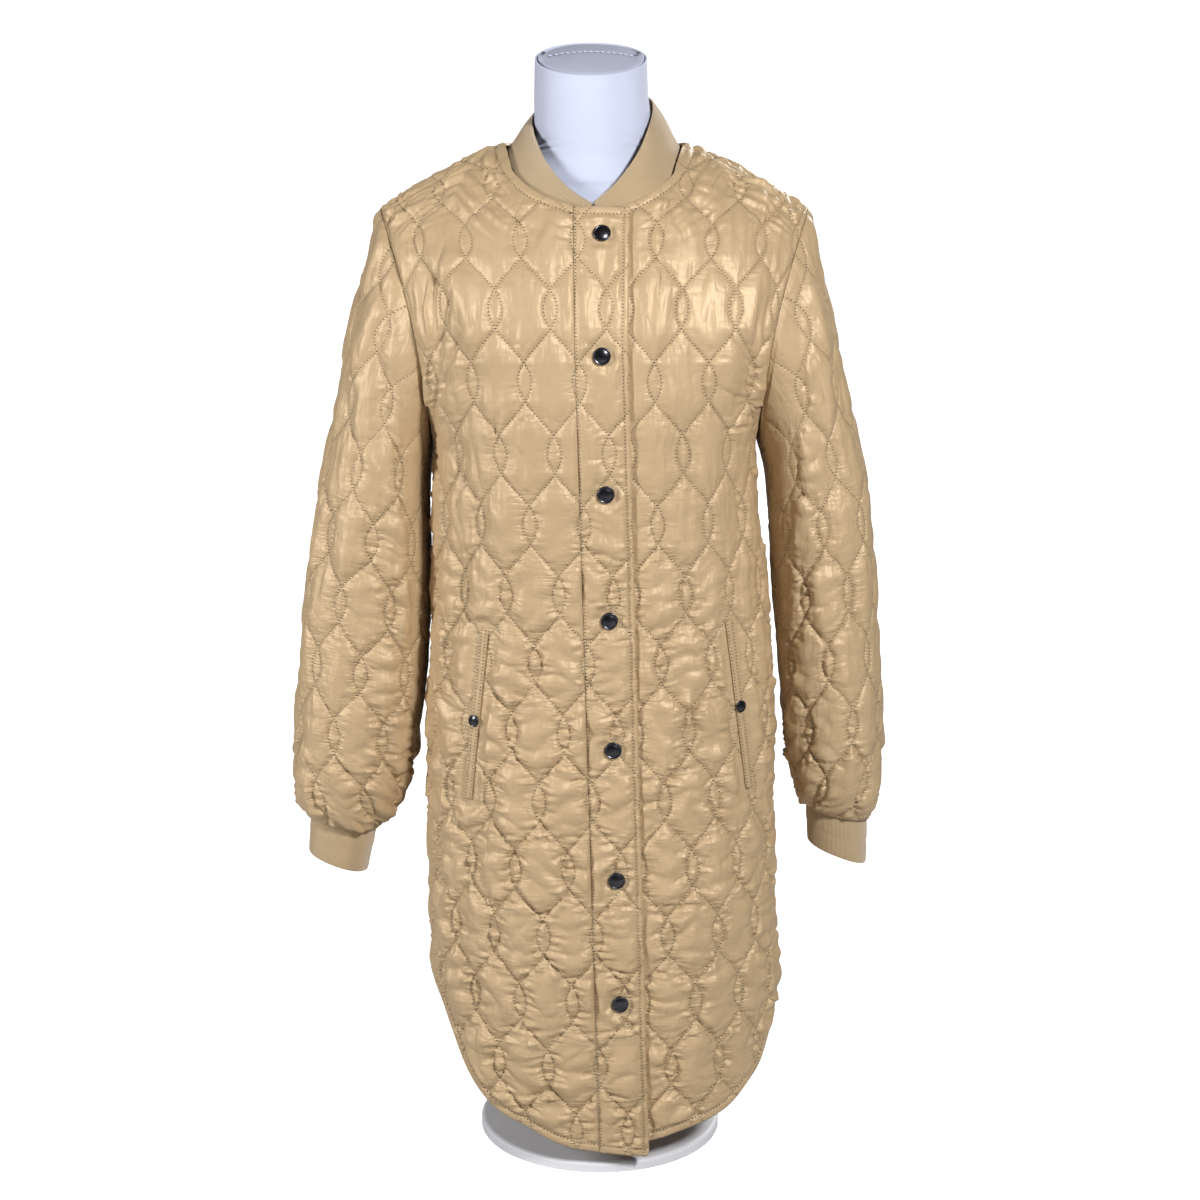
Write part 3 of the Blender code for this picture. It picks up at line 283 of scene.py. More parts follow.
# The neck's cloth turns over the top edge in a small round bead
bead = [neck_ring(form_turns, *NECK[-1], size=s, lift=h)
        for s, h in ((0.998, 0.0008), (0.985, 0.0013), (0.965, 0.0008), (0.955, -0.0010), (0.955, -0.004))]
piece("form_body", loft(np.concatenate([rings, np.array(bead)])), jersey, ("form_torso",))

# The cap: each half rises a little to the seam, and the ends of the seam stand up in small ears
CAP_EDGE = 0.945         # the cap's widest ring, as a share of the neck
cap_rings = []
z, half, front, back = NECK[-1]
for number, size in enumerate((0.90, *np.linspace(CAP_EDGE, 0.02, 26))):
    ring = []
    for x, y, height in neck_ring(form_turns, z, half, front, back, size):
        across = (x - NECK_SHIFT) / half
        seam = -0.0009 * math.exp(-(y / 0.0016) ** 2)
        ear = 0.0042 * math.exp(-((abs(across) - 0.93) / 0.10) ** 2 - (y / 0.008) ** 2)
        edge = -0.0015 * (1.0 - float(ease(0.0, 0.06, CAP_EDGE - size)))
        lift = -0.0025 if number == 0 else CAP_RISE * (1.0 - size ** 2) + seam + ear + edge
        ring.append((x, y - CAP_TILT * lift, height + lift))
    cap_rings.append(ring)
cap_cloth, tree, shader, where = finish_of("cap_cloth")
knit = speckle(tree, where, 1400.0, 1.0, (1.0, 0.35, 1.0))
shade = speckle(tree, where, 40.0)
tree.links.new(tones(tree, shade, (0.40, 0.42, 0.52), (0.47, 0.49, 0.60)), shader.inputs["Base Color"])
shader.inputs["Roughness"].default_value = 0.8
relief(tree, shader, knit, 0.0001)
piece("neck_cap", loft(cap_rings), cap_cloth, ("form_cap",))

# Seam stitches across the cap and the two small eyelets at the seam's ends
bm = bmesh.new()
for x in np.linspace(-0.036, 0.036, 15):
    lift = CAP_RISE * (1.0 - (x / half) ** 2) + 0.0001
    for vert in bmesh.ops.create_uvsphere(bm, u_segments=8, v_segments=6, radius=0.0007)["verts"]:
        vert.co.x *= 2.2
        vert.co += Vector((x + NECK_SHIFT, -CAP_TILT * lift, z + CAP_TILT * 0.002 + lift))
for face in bm.faces:
    face.smooth = True
piece("cap_stitches", bm, jersey)
eyelet_steel, tree, shader, where = finish_of("eyelet_steel")
tree.links.new(tones(tree, speckle(tree, where, 300.0), (0.05, 0.05, 0.07), (0.12, 0.12, 0.15)),
               shader.inputs["Base Color"])
shader.inputs["Metallic"].default_value = 0.6
shader.inputs["Roughness"].default_value = 0.45
bm = bmesh.new()
for side in (-1.0, 1.0):
    before = set(bm.verts)
    ring = bmesh.ops.create_circle(bm, segments=10, radius=0.0005)["verts"]
    for vert in ring:
        vert.co = (vert.co.x + 0.0014, 0.0, vert.co.y)
    edges = list(dict.fromkeys(e for v in ring for e in v.link_edges))
    bmesh.ops.spin(bm, geom=ring + edges, axis=(0, 0, 1), cent=(0, 0, 0), steps=20,
                   angle=2 * math.pi, use_merge=True)
    lift = CAP_RISE * (1.0 - 0.84 ** 2) + 0.0036
    for vert in bm.verts:
        if vert not in before:
            x, y, h = vert.co
            vert.co = (x + side * 0.042 + NECK_SHIFT, y - CAP_TILT * (lift + h),
                       z + CAP_TILT * (0.002 + y) + lift + h)
for face in bm.faces:
    face.smooth = True
outward(bm)
piece("cap_eyelets", bm, eyelet_steel)

# ---- Quilted cloth ----
# Tan taffeta over a thin wadding and a plain lining, stitched through in onion quilting: wavy
# lines that cross in pairs and close a small lens at every crossing. u runs across it, v up it.

WALL = 0.0022            # the cloth at a stitched line
PUFF = 0.0030            # rise of the wadding between the lines
PITCH = 0.02325          # half the distance between lenses in a row
ROW = 0.0615             # distance between rows of lenses
SWING = 0.748            # side swing of a line, in pitches
LENS_ROW = 0.785         # height of one row of lenses on the body
FINE_STEPS = 4           # steps of the outer skin for one of the plain inside


def ripple(x, y, seed):
    """Smooth random hills and hollows, from about -1 to 1."""
    turn = np.random.RandomState(seed).rand(64, 64) * 2 * math.pi
    i, j = np.floor(x).astype(int), np.floor(y).astype(int)
    fx, fy = x - i, y - j
    sx, sy = fx ** 3 * (fx * (fx * 6 - 15) + 10), fy ** 3 * (fy * (fy * 6 - 15) + 10)

    def corner(a, b):
        angle = turn[(i + a) % 64, (j + b) % 64]
        return np.cos(angle) * (fx - a) + np.sin(angle) * (fy - b)

    low = corner(0, 0) * (1 - sx) + corner(1, 0) * sx
    high = corner(0, 1) * (1 - sx) + corner(1, 1) * sx
    return 1.5 * (low * (1 - sy) + high * sy)


def to_lines(u, v):
    """Distance to the nearest even and odd quilting line, with a sign, measured square to it."""
    a, b = u / PITCH, v / ROW
    sway = SWING * np.cos(math.pi * b)
    square = PITCH / np.sqrt(1.0 + (SWING * math.pi * np.sin(math.pi * b) * PITCH / ROW) ** 2)
    even = (a - 0.5 + sway + 1.0) % 2.0 - 1.0
    odd = (a - 1.5 - sway + 1.0) % 2.0 - 1.0
    return even * square, odd * square


def run_along(path):
    """How far along a line of points each of them is."""
    return np.concatenate([[0.0], np.cumsum(np.linalg.norm(np.diff(path, axis=0), axis=1))])


def follow_lines(u, v, phase, *others):
    """Slides the nearest point of every row onto each quilting line that the row crosses, and
    slides what else is known of the points by the same share."""
    for family in (0, 1):
        side = to_lines(u - phase[0], v - phase[1])[family]
        one, two = side[:, :-1], side[:, 1:]
        crossed = (one * two <= 0.0) & (np.abs(one - two) < PITCH * 0.5)
        share = np.where(crossed, one / np.where(crossed, one - two, 1.0), 0.0)
        for i, j in zip(*np.nonzero(crossed)):
            f = share[i, j]
            target = j if f < 0.5 else j + 1
            if 0 < target < u.shape[1] - 1:
                for values in (u, v, *others):
                    values[i, target] = values[i, j] + f * (values[i, j + 1] - values[i, j])
    return u, v


def beside(u, v, line):
    """Distance from points to a line of points, and how far along it the nearest place is."""
    line = np.asarray(line, float)
    start, step, along = line[:-1], np.diff(line, axis=0), run_along(line)
    size = np.maximum((step ** 2).sum(1), 1e-12)
    points = np.stack([u.ravel(), v.ravel()], 1)
    away, run = np.empty(len(points)), np.empty(len(points))
    for k in range(0, len(points), 4000):
        p = points[k:k + 4000]
        t = np.clip(((p[:, None] - start) * step).sum(2) / size, 0.0, 1.0)
        d = np.linalg.norm(p[:, None] - start - t[..., None] * step, axis=2)
        best = d.argmin(1)
        pick = np.arange(len(p))
        away[k:k + 4000] = d[pick, best]
        run[k:k + 4000] = along[best] + t[pick, best] * np.sqrt(size[best])
    return away.reshape(u.shape), run.reshape(u.shape)


def groove(d):
    """Share of the full rise at a distance from a stitched line."""
    d = np.abs(d)
    return 0.42 * (1.0 - np.exp(-d / 0.0012)) + 0.58 * ease(0.0, 0.0135, d)


def lens_flat(u, v):
    """The small lenses between two lines hold little wadding and lie flatter."""
    bow = np.cos(math.pi * v / ROW)
    off = np.abs((u / PITCH + (bow < 0.0) + 1.0) % 2.0 - 1.0)
    return 1.0 - 0.55 * ease(-0.04, 0.06, SWING * np.abs(bow) - 0.5 - off)


def diamond_hash(u, v, seed):
    """A random number from -1 to 1 for each diamond of the quilting."""
    a, sway = u / PITCH, SWING * np.cos(math.pi * v / ROW)
    one, two = np.floor((a - 0.5 + sway) / 2.0), np.floor((a - 1.5 - sway) / 2.0)
    mixed = np.sin(one * 12.9898 + two * 78.233 + np.floor(v / ROW + 0.5) * 37.719 + seed) * 43758.5453
    return (mixed - np.floor(mixed)) * 2.0 - 1.0


def wrinkles(u, v, d, rough, seed):
    """Soft creases between the lines: long ones up the cloth where it hangs smooth, and broad
    uneven ones where it is rough (0 to 1)."""
    own = diamond_hash(u, v, seed)
    bend = 0.005 * ripple(u / 0.03, v / 0.06, seed) + 0.006 * own
    long = 0.00055 * ripple((u + bend) / 0.0085, v / 0.045, seed + 1)
    long += 0.00100 * ripple((u + bend) / 0.018, v / 0.050, seed + 2)
    long += 0.0016 * np.abs(ripple((u + bend) / 0.015, (v + 0.04 * own) / 0.055, seed + 4))
    lean = 0.55 * own
    x = u * np.cos(lean) + v * np.sin(lean) + 0.03 * own
    y = v * np.cos(lean) - u * np.sin(lean) + 0.004 * ripple(u / 0.022, v / 0.030, seed + 3)
    loose = 0.0008 * ripple(x / 0.019, y / 0.0125, seed + 5)
    loose += 0.0016 * ripple(x / 0.026, y / 0.024, seed + 6)
    loose += 0.0046 * np.abs(ripple(x / 0.034, y / 0.021, seed + 7))
    return (long * (1.0 - 0.6 * rough) + loose * rough) * ease(0.0, 0.0042, np.abs(d))


def pulls(u, v, phase, rough, seed):
    """Short creases that the stitching pulls from its lines into the cloth, each a sharp valley
    with a soft lip below it, and soft upright ones from the points of the lenses."""
    draw = np.random.RandomState(seed)
    order = np.argsort(v)
    sorted_v = v[order]
    total = np.zeros(len(u))

    def press(u0, v0, side, lean, bend, long, wide, deep, upright):
        reach = long + 0.002 if upright else 0.006
        idx = order[np.searchsorted(sorted_v, v0 - reach):np.searchsorted(sorted_v, v0 + reach)]
        off, along = (v[idx] - v0, u[idx] - u0) if not upright else (u[idx] - u0, v[idx] - v0)
        along = along * side
        close = (along > -0.001) & (along < long) & (np.abs(off) < 0.007)
        idx, off, along = idx[close], off[close], along[close]
        if len(idx) == 0:
            return
        t = off - lean * along - bend * along ** 2 / long
        fade = ease(-0.0006, 0.0014, along) * (1.0 - ease(0.30 * long, long, along))
        valley = np.exp(-(t / wide) ** 2) - 0.55 * np.exp(-((t + 1.9 * wide) / (1.5 * wide)) ** 2)
        total[idx] -= deep * fade * valley * np.clip(rough[idx], 0.0, 1.0)

    def drawn(*ranges):
        return [draw.uniform(low, high) for low, high in ranges]

    first, last = int((u.min() - phase[0]) / PITCH) - 2, int((u.max() - phase[0]) / PITCH) + 3
    for k in range(first, last):
        way = -1.0 if k % 2 == 0 else 1.0
        v0 = v.min()
        while v0 < v.max():
            v0 += draw.uniform(0.0060, 0.0160)
            bow = SWING * math.cos(math.pi * (v0 - phase[1]) / ROW)
            side = 1.0 if draw.rand() < 0.5 else -1.0
            lean, bend, long, wide, deep = drawn((-0.50, 0.15), (-0.35, 0.15), (0.009, 0.024),
                                                 (0.0014, 0.0026), (0.0009, 0.0030))
            press(phase[0] + PITCH * (k + 0.5 + way * bow), v0, side, lean, bend, long, wide, deep, False)
    for n in range(int((v.min() - phase[1]) / ROW) - 1, int((v.max() - phase[1]) / ROW) + 2):
        for k in range(first, last):
            for side in (-1.0, 1.0) if (k - n) % 2 == 0 else ():
                off, lean, long, wide, deep = drawn((-0.002, 0.002), (-0.25, 0.25), (0.018, 0.040),
                                                    (0.0018, 0.0034), (0.0006, 0.0016))
                press(phase[0] + k * PITCH + off, phase[1] + (n + 0.267 * side) * ROW, side, lean, 0.0,
                      long, wide, deep, True)
    return total


def raised(u, v, phase, rough, least, seed, pull_seed):
    """Rise of the wadding between the lines, and of the creases in it; the least share of the
    pulled creases is where the cloth hangs smooth."""
    u0, v0 = u - phase[0], v - phase[1]
    d = np.abs(to_lines(u0, v0)).min(axis=0)
    creased = wrinkles(u0, v0, d, rough, seed) + pulls(u, v, phase, least + (1.0 - least) * rough, pull_seed)
    return PUFF * groove(d) * lens_flat(u0, v0), creased


def folded_edge(rise, line, run, fold, high, tug, reach, seed):
    """Adds the rounded fold beyond a line of topstitching, and the gathers that the line pulls."""
    band = np.clip(-line / fold, 0.0, 1.0)
    rise += high * np.sqrt(np.clip(band * (1.0 - band) * 4.0, 0.0, 1.0)) * (line < 0.0)
    drawn = ripple(run, line / 0.05, seed) * np.exp(-np.abs(line + 0.001) / reach)
    rise += tug * drawn * ease(0.0, 0.0012, np.abs(line)) * ease(0.0, 0.002, fold + line)


def group_of(name, inputs, outputs):
    """An empty node group with named sockets, and its two ends."""
    group = bpy.data.node_groups.new(name, "ShaderNodeTree")
    for names, way in ((inputs, "INPUT"), (outputs, "OUTPUT")):
        for socket in names:
            kind = "NodeSocketVector" if socket == "Map" else "NodeSocketFloat"
            group.interface.new_socket(socket, in_out=way, socket_type=kind)
    return group, group.nodes.new("NodeGroupInput").outputs, group.nodes.new("NodeGroupOutput").inputs


def use(tree, group, **values):
    """A node of a group, with its sockets set or linked."""
    made = tree.nodes.new("ShaderNodeGroup")
    made.node_tree = group
    for name, value in values.items():
        if isinstance(value, float):
            made.inputs[name].default_value = value
        else:
            tree.links.new(value, made.inputs[name])
    return made.outputs


def split(tree, vector):
    parts = tree.nodes.new("ShaderNodeSeparateXYZ")
    tree.links.new(vector, parts.inputs[0])
    return parts.outputs


def on_map(tree, name):
    made = tree.nodes.new("ShaderNodeUVMap")
    made.uv_map = name
    return made.outputs["UV"]


# Node group: distance to the nearest quilting line and distance along it, in metres
quilting_line, into, out = group_of("quilting_line", ("Across", "Up"), ("Distance", "Along"))
a = reckon(quilting_line, "DIVIDE", into["Across"], PITCH)
b = reckon(quilting_line, "DIVIDE", into["Up"], ROW)
turn = reckon(quilting_line, "MULTIPLY", b, math.pi)
sway = reckon(quilting_line, "MULTIPLY", reckon(quilting_line, "COSINE", turn), SWING)
lean = reckon(quilting_line, "MULTIPLY", reckon(quilting_line, "SINE", turn), SWING * math.pi * PITCH / ROW)
lean = reckon(quilting_line, "SQRT", reckon(quilting_line, "MULTIPLY_ADD", lean, lean, 1.0))
nearest = None
for operation, first in (("ADD", 0.5), ("SUBTRACT", 1.5)):
    off = reckon(quilting_line, "SUBTRACT", reckon(quilting_line, operation, a, sway), first)
    off = reckon(quilting_line, "ABSOLUTE", reckon(quilting_line, "WRAP", off, 1.0, -1.0))
    nearest = off if nearest is None else reckon(quilting_line, "MINIMUM", nearest, off)
square = reckon(quilting_line, "DIVIDE", PITCH, lean)
quilting_line.links.new(reckon(quilting_line, "MULTIPLY", nearest, square), out["Distance"])
swell = reckon(quilting_line, "SINE", reckon(quilting_line, "MULTIPLY", turn, 2.0))
even_run = reckon(quilting_line, "MULTIPLY", b, 1.175 * ROW)
quilting_line.links.new(reckon(quilting_line, "MULTIPLY_ADD", swell, -0.0275 * ROW, even_run), out["Along"])

# Node group: masks for the thread, the needle holes and the groove beside a stitched line
SEWN_MASKS = ("Thread Mask", "Hole Mask", "Groove Mask")
STITCH, THREAD = 0.0030, 0.0005
sewn_line, into, out = group_of("sewn_line", ("Distance", "Along"), SEWN_MASKS)
away = reckon(sewn_line, "ABSOLUTE", into["Distance"])
step = reckon(sewn_line, "FRACT", reckon(sewn_line, "DIVIDE", into["Along"], STITCH))
from_mid = reckon(sewn_line, "ABSOLUTE", reckon(sewn_line, "SUBTRACT", step, 0.5))
from_mid = reckon(sewn_line, "MULTIPLY", from_mid, 2.0)
narrow = reckon(sewn_line, "SUBTRACT", 1.0, reckon(sewn_line, "DIVIDE", away, THREAD))
inside = reckon(sewn_line, "MULTIPLY", reckon(sewn_line, "MAXIMUM", narrow, 0.0), 3.0)
inside = reckon(sewn_line, "MINIMUM", inside, 1.0)
thread = reckon(sewn_line, "MULTIPLY", inside, reckon(sewn_line, "LESS_THAN", from_mid, 0.66))
hole = reckon(sewn_line, "MULTIPLY", inside, reckon(sewn_line, "GREATER_THAN", from_mid, 0.72))
dip = reckon(sewn_line, "SUBTRACT", 1.0, reckon(sewn_line, "DIVIDE", away, 0.0016))
for value, name in zip((thread, hole, reckon(sewn_line, "MAXIMUM", dip, 0.0)), SEWN_MASKS):
    sewn_line.links.new(value, out[name])

# Node group: fine sharp creases drawn out along one way of the cloth, as a depth of 0 to 1
creasing, into, out = group_of("creasing", ("Map", "Sharpness"), ("Depth",))
grain = speckle(creasing, into["Map"], 1.0, 1.0)
off = reckon(creasing, "ABSOLUTE", reckon(creasing, "SUBTRACT", grain, 0.5))
off = reckon(creasing, "MINIMUM", reckon(creasing, "MULTIPLY", off, into["Sharpness"]), 1.0)
creasing.links.new(reckon(creasing, "SUBTRACT", 1.0, off), out["Depth"])

TAFFETA_DARK, TAFFETA_LIGHT = (0.450, 0.318, 0.176), (0.560, 0.405, 0.236)
# Painted shade for the groove beside a stitched line and for the needle holes; the thread's tan is its own
# colour
GROOVE_PAINTED_SHADE, THREAD_TAN, HOLE_PAINTED_SHADE = (0.235, 0.150, 0.075), (0.66, 0.49, 0.29), (0.050, 0.028, 0.012)


def taffeta_cloth(name, quilted):
    """Taffeta: fine cross ribs in the weave, slight random tone from place to place, needle holes
    and the groove beside each stitched line darkened with painted shade, and sewing thread, with the fine
    creases that the stitching pulls."""
    made, tree, shader, where = finish_of(name)
    cloth_uv = on_map(tree, "cloth")
    across, up, _ = split(tree, cloth_uv)
    seam_off, seam_along, _ = split(tree, on_map(tree, "topstitch"))
    seam = use(tree, sewn_line, Distance=seam_off, Along=seam_along)
    masks = [seam[mask] for mask in SEWN_MASKS]
    near = reckon(tree, "MULTIPLY", seam["Groove Mask"], 0.6)
    if quilted:
        line = use(tree, quilting_line, Across=across, Up=up)
        stitched = use(tree, sewn_line, Distance=line["Distance"], Along=line["Along"])
        masks = [reckon(tree, "MAXIMUM", one, stitched[mask]) for one, mask in zip(masks, SEWN_MASKS)]
        near = reckon(tree, "POWER", 2.718, reckon(tree, "MULTIPLY", line["Distance"], -140.0))
    threads, holes, grooves = masks
    weave = speckle(tree, cloth_uv, 1.0, 2.0, (260.0, 2600.0, 1.0))
    slub = speckle(tree, cloth_uv, 1.0, 3.0, (9.0, 160.0, 1.0))
    cloud = speckle(tree, cloth_uv, 1.0, 2.0, (18.0, 9.0, 1.0))
    tint = reckon(tree, "MULTIPLY_ADD", slub, 0.45, reckon(tree, "MULTIPLY", cloud, 0.55))
    colour = tones(tree, tint, TAFFETA_DARK, TAFFETA_LIGHT)
    # The groove and the needle holes are darkened with painted shade; the thread is mixed in with its own tan
    for mask, share, tone in ((grooves, 0.30, GROOVE_PAINTED_SHADE), (threads, 0.75, THREAD_TAN),
                              (holes, 0.90, HOLE_PAINTED_SHADE)):
        colour = tones(tree, reckon(tree, "MULTIPLY", mask, share), colour, tone)
    tree.links.new(colour, shader.inputs["Base Color"])
    tree.links.new(reckon(tree, "MULTIPLY_ADD", weave, 0.10, 0.46), shader.inputs["Roughness"])
    for socket, value in (("Metallic", 0.14), ("Sheen Weight", 0.06), ("Sheen Roughness", 0.4),
                          ("Specular IOR Level", 0.45)):
        shader.inputs[socket].default_value = value
    # Creases are stronger down the coat than on the chest
    low_down = tree.nodes.new("ShaderNodeMapRange")
    tree.links.new(split(tree, where)[2], low_down.inputs["Value"])
    for slot, value in (("From Min", 0.74), ("From Max", 0.52), ("To Min", 0.30), ("To Max", 1.0)):
        low_down.inputs[slot].default_value = value
    low_down = low_down.outputs["Result"]
    crosswise = use(tree, creasing, Map=stretched(tree, cloth_uv, (45.0, 165.0, 1.0)), Sharpness=8.0)["Depth"]
    leaning = use(tree, creasing, Map=stretched(tree, cloth_uv, (95.0, 38.0, 1.0), 0.5),
                  Sharpness=10.0)["Depth"]
    streaks = speckle(tree, cloth_uv, 1.0, 3.0, (170.0, 16.0, 1.0))
    crinkle = speckle(tree, cloth_uv, 1.0, 4.0, (120.0, 105.0, 1.0))
    pulled = reckon(tree, "MULTIPLY", reckon(tree, "MULTIPLY", crosswise, near), low_down)
    height = reckon(tree, "MULTIPLY", pulled, -0.00075)
    crumpled = reckon(tree, "MULTIPLY", crinkle, low_down)
    for value, metres in ((leaning, -0.00020), (streaks, 0.00090), (crumpled, 0.00090), (grooves, -0.00028),
                          (threads, 0.00024), (holes, -0.00035), (weave, 0.000018)):
        height = reckon(tree, "MULTIPLY_ADD", value, metres, height)
    relief(tree, shader, height, 1.0)
    return made


taffeta = taffeta_cloth("tan_taffeta", True)


NO_SEAM = 0.05           # distance given where there is no topstitching near
ON_LINE = 0.00003        # a point this near to a quilting line is on it


def quilted_shell(outer_uv, outer_at, inner_uv, inner_at, phase, topstitch, closed):
    """A wall of cloth between a fine outer grid and a coarse inner one, with its maps in cloth
    metres. Rows run up, columns across; closed walls meet themselves at the first column."""
    bm = bmesh.new()
    grids = []
    for at in (outer_at, inner_at):
        rows, columns = at.shape[:2]
        verts = bmesh.ops.create_grid(bm, x_segments=columns - 1, y_segments=rows - 1, size=0.5)["verts"]
        grid = np.empty((rows, columns), object)
        for vert in verts:
            i, j = round((vert.co.y + 0.5) * (rows - 1)), round((vert.co.x + 0.5) * (columns - 1))
            vert.co = at[i, j]
            grid[i, j] = vert
        grids.append(grid)
    outer, inner = grids
    for face in bm.faces:
        face.smooth = True
    cloth_map, stitch_map = bm.loops.layers.uv.new("cloth"), bm.loops.layers.uv.new("topstitch")
    maps = {}
    for grid, uv, marks in ((outer, outer_uv, topstitch), (inner, inner_uv, None)):
        for i, j in np.ndindex(grid.shape):
            mark = (NO_SEAM, 0.0) if marks is None else marks[i, j]
            maps[grid[i, j]] = ((uv[i, j, 0] - phase[0], uv[i, j, 1] - phase[1]), mark)
    edges = [(outer[0], inner[0]), (outer[-1], inner[-1])]
    if not closed:
        edges += [(outer[:, 0], inner[:, 0]), (outer[:, -1], inner[:, -1])]
    for fine, coarse in edges:
        for k in range(len(coarse) - 1):
            strip = fine[k * FINE_STEPS:(k + 1) * FINE_STEPS + 1]
            bm.faces.new([coarse[k], *strip, coarse[k + 1]])
    for face in bm.faces:
        for loop in face.loops:
            loop[cloth_map].uv, loop[stitch_map].uv = maps[loop.vert]
    even, odd = to_lines(outer_uv[..., 0] - phase[0], outer_uv[..., 1] - phase[1])
    on_line = outer[np.minimum(np.abs(even), np.abs(odd)) < ON_LINE]
    bmesh.ops.connect_verts(bm, verts=list(on_line))
    outward(bm)
    return bm


# ---- Back and front panels ----
# The back is cut in one piece, with a front on each side. Side seams and shoulder seams close
# them; the fronts run on below the placket. A narrow hem is turned up and topstitched.

PLACKET = 0.045          # width of the placket
UNDERLAP = 0.018         # the left front runs on this far under it
STEPS = 140              # points of a path on the body
BODY_ROWS = 90           # paths of a table
HEM_SIDE = 0.158         # hem at the side seams
# Shirt-tail hem: share of the way from the middle to the side seam, height
HEM = {
    "right": np.array([
        (0.0, 0.0265), (0.09, 0.0275), (0.19, 0.031), (0.26, 0.037), (0.35, 0.0485), (0.46, 0.060),
        (0.547, 0.077), (0.615, 0.098), (0.675, 0.122), (0.735, 0.143), (0.84, 0.157), (1.0, HEM_SIDE),
    ]),
    "left": np.array([
        (0.0, 0.0335), (0.10, 0.0358), (0.20, 0.0430), (0.30, 0.049), (0.377, 0.054), (0.444, 0.060),
        (0.561, 0.078), (0.651, 0.093), (0.709, 0.109), (0.79, 0.126), (0.90, 0.148), (1.0, HEM_SIDE),
    ]),
    "back": np.array([
        (0.0, 0.0230), (0.20, 0.031), (0.35, 0.047), (0.46, 0.061), (0.56, 0.079), (0.65, 0.102),
        (0.72, 0.126), (0.80, 0.147), (0.90, 0.157), (1.0, HEM_SIDE),
    ]),
}
HEM_FOLD = 0.0072        # from the hem's edge to its topstitching
NECK_FOLD = 0.0075       # from the neckline to its topstitching
UNDERARM_Z, TIP_Z = 0.668, 0.870         # ends of the armhole
NECK_X, NECK_Z, NECK_DROP = 0.079, 0.9265, 0.0565     # half width, height and front drop of the neckline
# Armhole in the front view: height, distance from the centre
ARMHOLE = np.array([
    (0.668, 0.1445), (0.70, 0.1465), (0.73, 0.1495), (0.763, 0.1545),
    (0.807, 0.1660), (0.843, 0.1785), (0.870, 0.1900),
])
# Pocket mouths in the front view: top x, top z, bottom x, bottom z
WELT = {"right": (-0.1000, 0.505, -0.1170, 0.350), "left": (0.1120, 0.512, 0.1320, 0.357)}
SNAP_V = (0.851, 0.746, 0.6285, 0.5175, 0.4025, 0.2845, 0.170)    # heights of the snaps
SNAP_R, WELT_SNAP_R = 0.0075, 0.0055
# Large folds: face, x, z, lean in degrees, half length, half width, height
FOLDS = (
    ("front", -0.118, 0.800, -24, 0.060, 0.012, 0.0055), ("front", -0.142, 0.770, -14, 0.055, 0.011, -0.0050),
    ("front", 0.120, 0.780, 22, 0.060, 0.014, 0.0040), ("front", 0.095, 0.690, 10, 0.110, 0.018, 0.0030),
    ("front", -0.085, 0.640, -6, 0.120, 0.018, 0.0030), ("front", -0.120, 0.560, 8, 0.080, 0.014, -0.0035),
    ("front", 0.125, 0.560, -8, 0.080, 0.014, -0.0035), ("front", -0.060, 0.230, -4, 0.130, 0.022, 0.0040),
    ("front", 0.090, 0.210, 5, 0.130, 0.022, 0.0040), ("front", -0.120, 0.240, 3, 0.120, 0.018, -0.0030),
    ("back", -0.115, 0.790, -22, 0.065, 0.013, 0.0050), ("back", 0.115, 0.790, 22, 0.065, 0.013, 0.0050),
    ("back", 0.000, 0.600, 2, 0.130, 0.020, 0.0035), ("back", -0.070, 0.250, -4, 0.140, 0.024, 0.0045),
    ("back", 0.065, 0.260, 4, 0.140, 0.024, 0.0045),
)


def front_line(z):
    """The line of the snaps leans to +X as it goes down."""
    return -0.002 + (0.871 - np.minimum(z, SHOULDER_Z)) * 0.0286


def flare(z):
    """Above the chest the columns of the cloth spread towards the shoulder tips."""
    t = np.maximum(z - SHOULDER_Z, 0.0)
    return 1.0 + 0.85 * t * t / (t + 0.03)


def column(face, dx0):
    """Path of a column of cloth from the chest up to the ridge."""
    top = ridge(dx0)
    for _ in range(14):
        top = ridge(dx0 * flare(top))
    z = SHOULDER_Z + (float(top) - SHOULDER_Z) * np.sin(np.linspace(0.0, math.pi / 2, 260))
    dx = dx0 * flare(z)
    return np.stack([dx, depth(face, dx, z), z], 1)


def even_steps(path, count):
    """Points at equal steps along a path, and its length."""
    along = run_along(path)
    want = np.linspace(0.0, along[-1], count)
    return np.stack([np.interp(want, along, path[:, k]) for k in range(path.shape[1])], 1), along[-1]


def level_path(face, z):
    """Path round the body at a height, from the middle to the side."""
    dx = float(fair(BODY[:, 0], BODY[:, 1], z)) * np.sin(np.linspace(0.0, math.pi / 2, 260))
    return np.stack([dx, depth(face, dx, np.full_like(dx, z))], 1)


def body_tables(face):
    """Even paths round the body at each height, and up the chest from each place across."""
    low_z, col_x = np.linspace(-0.02, SHOULDER_Z, BODY_ROWS), np.linspace(0.0, 0.18, BODY_ROWS)
    rows, lengths = zip(*(even_steps(level_path(face, z), STEPS) for z in low_z))
    columns, heights = zip(*(even_steps(column(face, dx0), STEPS) for dx0 in col_x))
    return {"z": low_z, "rows": np.array(rows), "long": np.array(lengths),
            "x": col_x, "cols": np.array(columns), "high": np.array(heights)}


def look_up(table, a, b):
    """Value of a table at a fractional row and column."""
    a, b = np.clip(a, 0.0, table.shape[0] - 1.0001), np.clip(b, 0.0, table.shape[1] - 1.0001)
    i, j = a.astype(int), b.astype(int)
    s, t = (a - i)[:, None], (b - j)[:, None]
    one = table[i, j] * (1 - t) + table[i, j + 1] * t
    two = table[i + 1, j] * (1 - t) + table[i + 1, j + 1] * t
    return one * (1 - s) + two * s


TABLES = {face: body_tables(face) for face in ("front", "back")}


def shift(face, z):
    return -middle(z) if face == "back" else front_line(z) - middle(z)


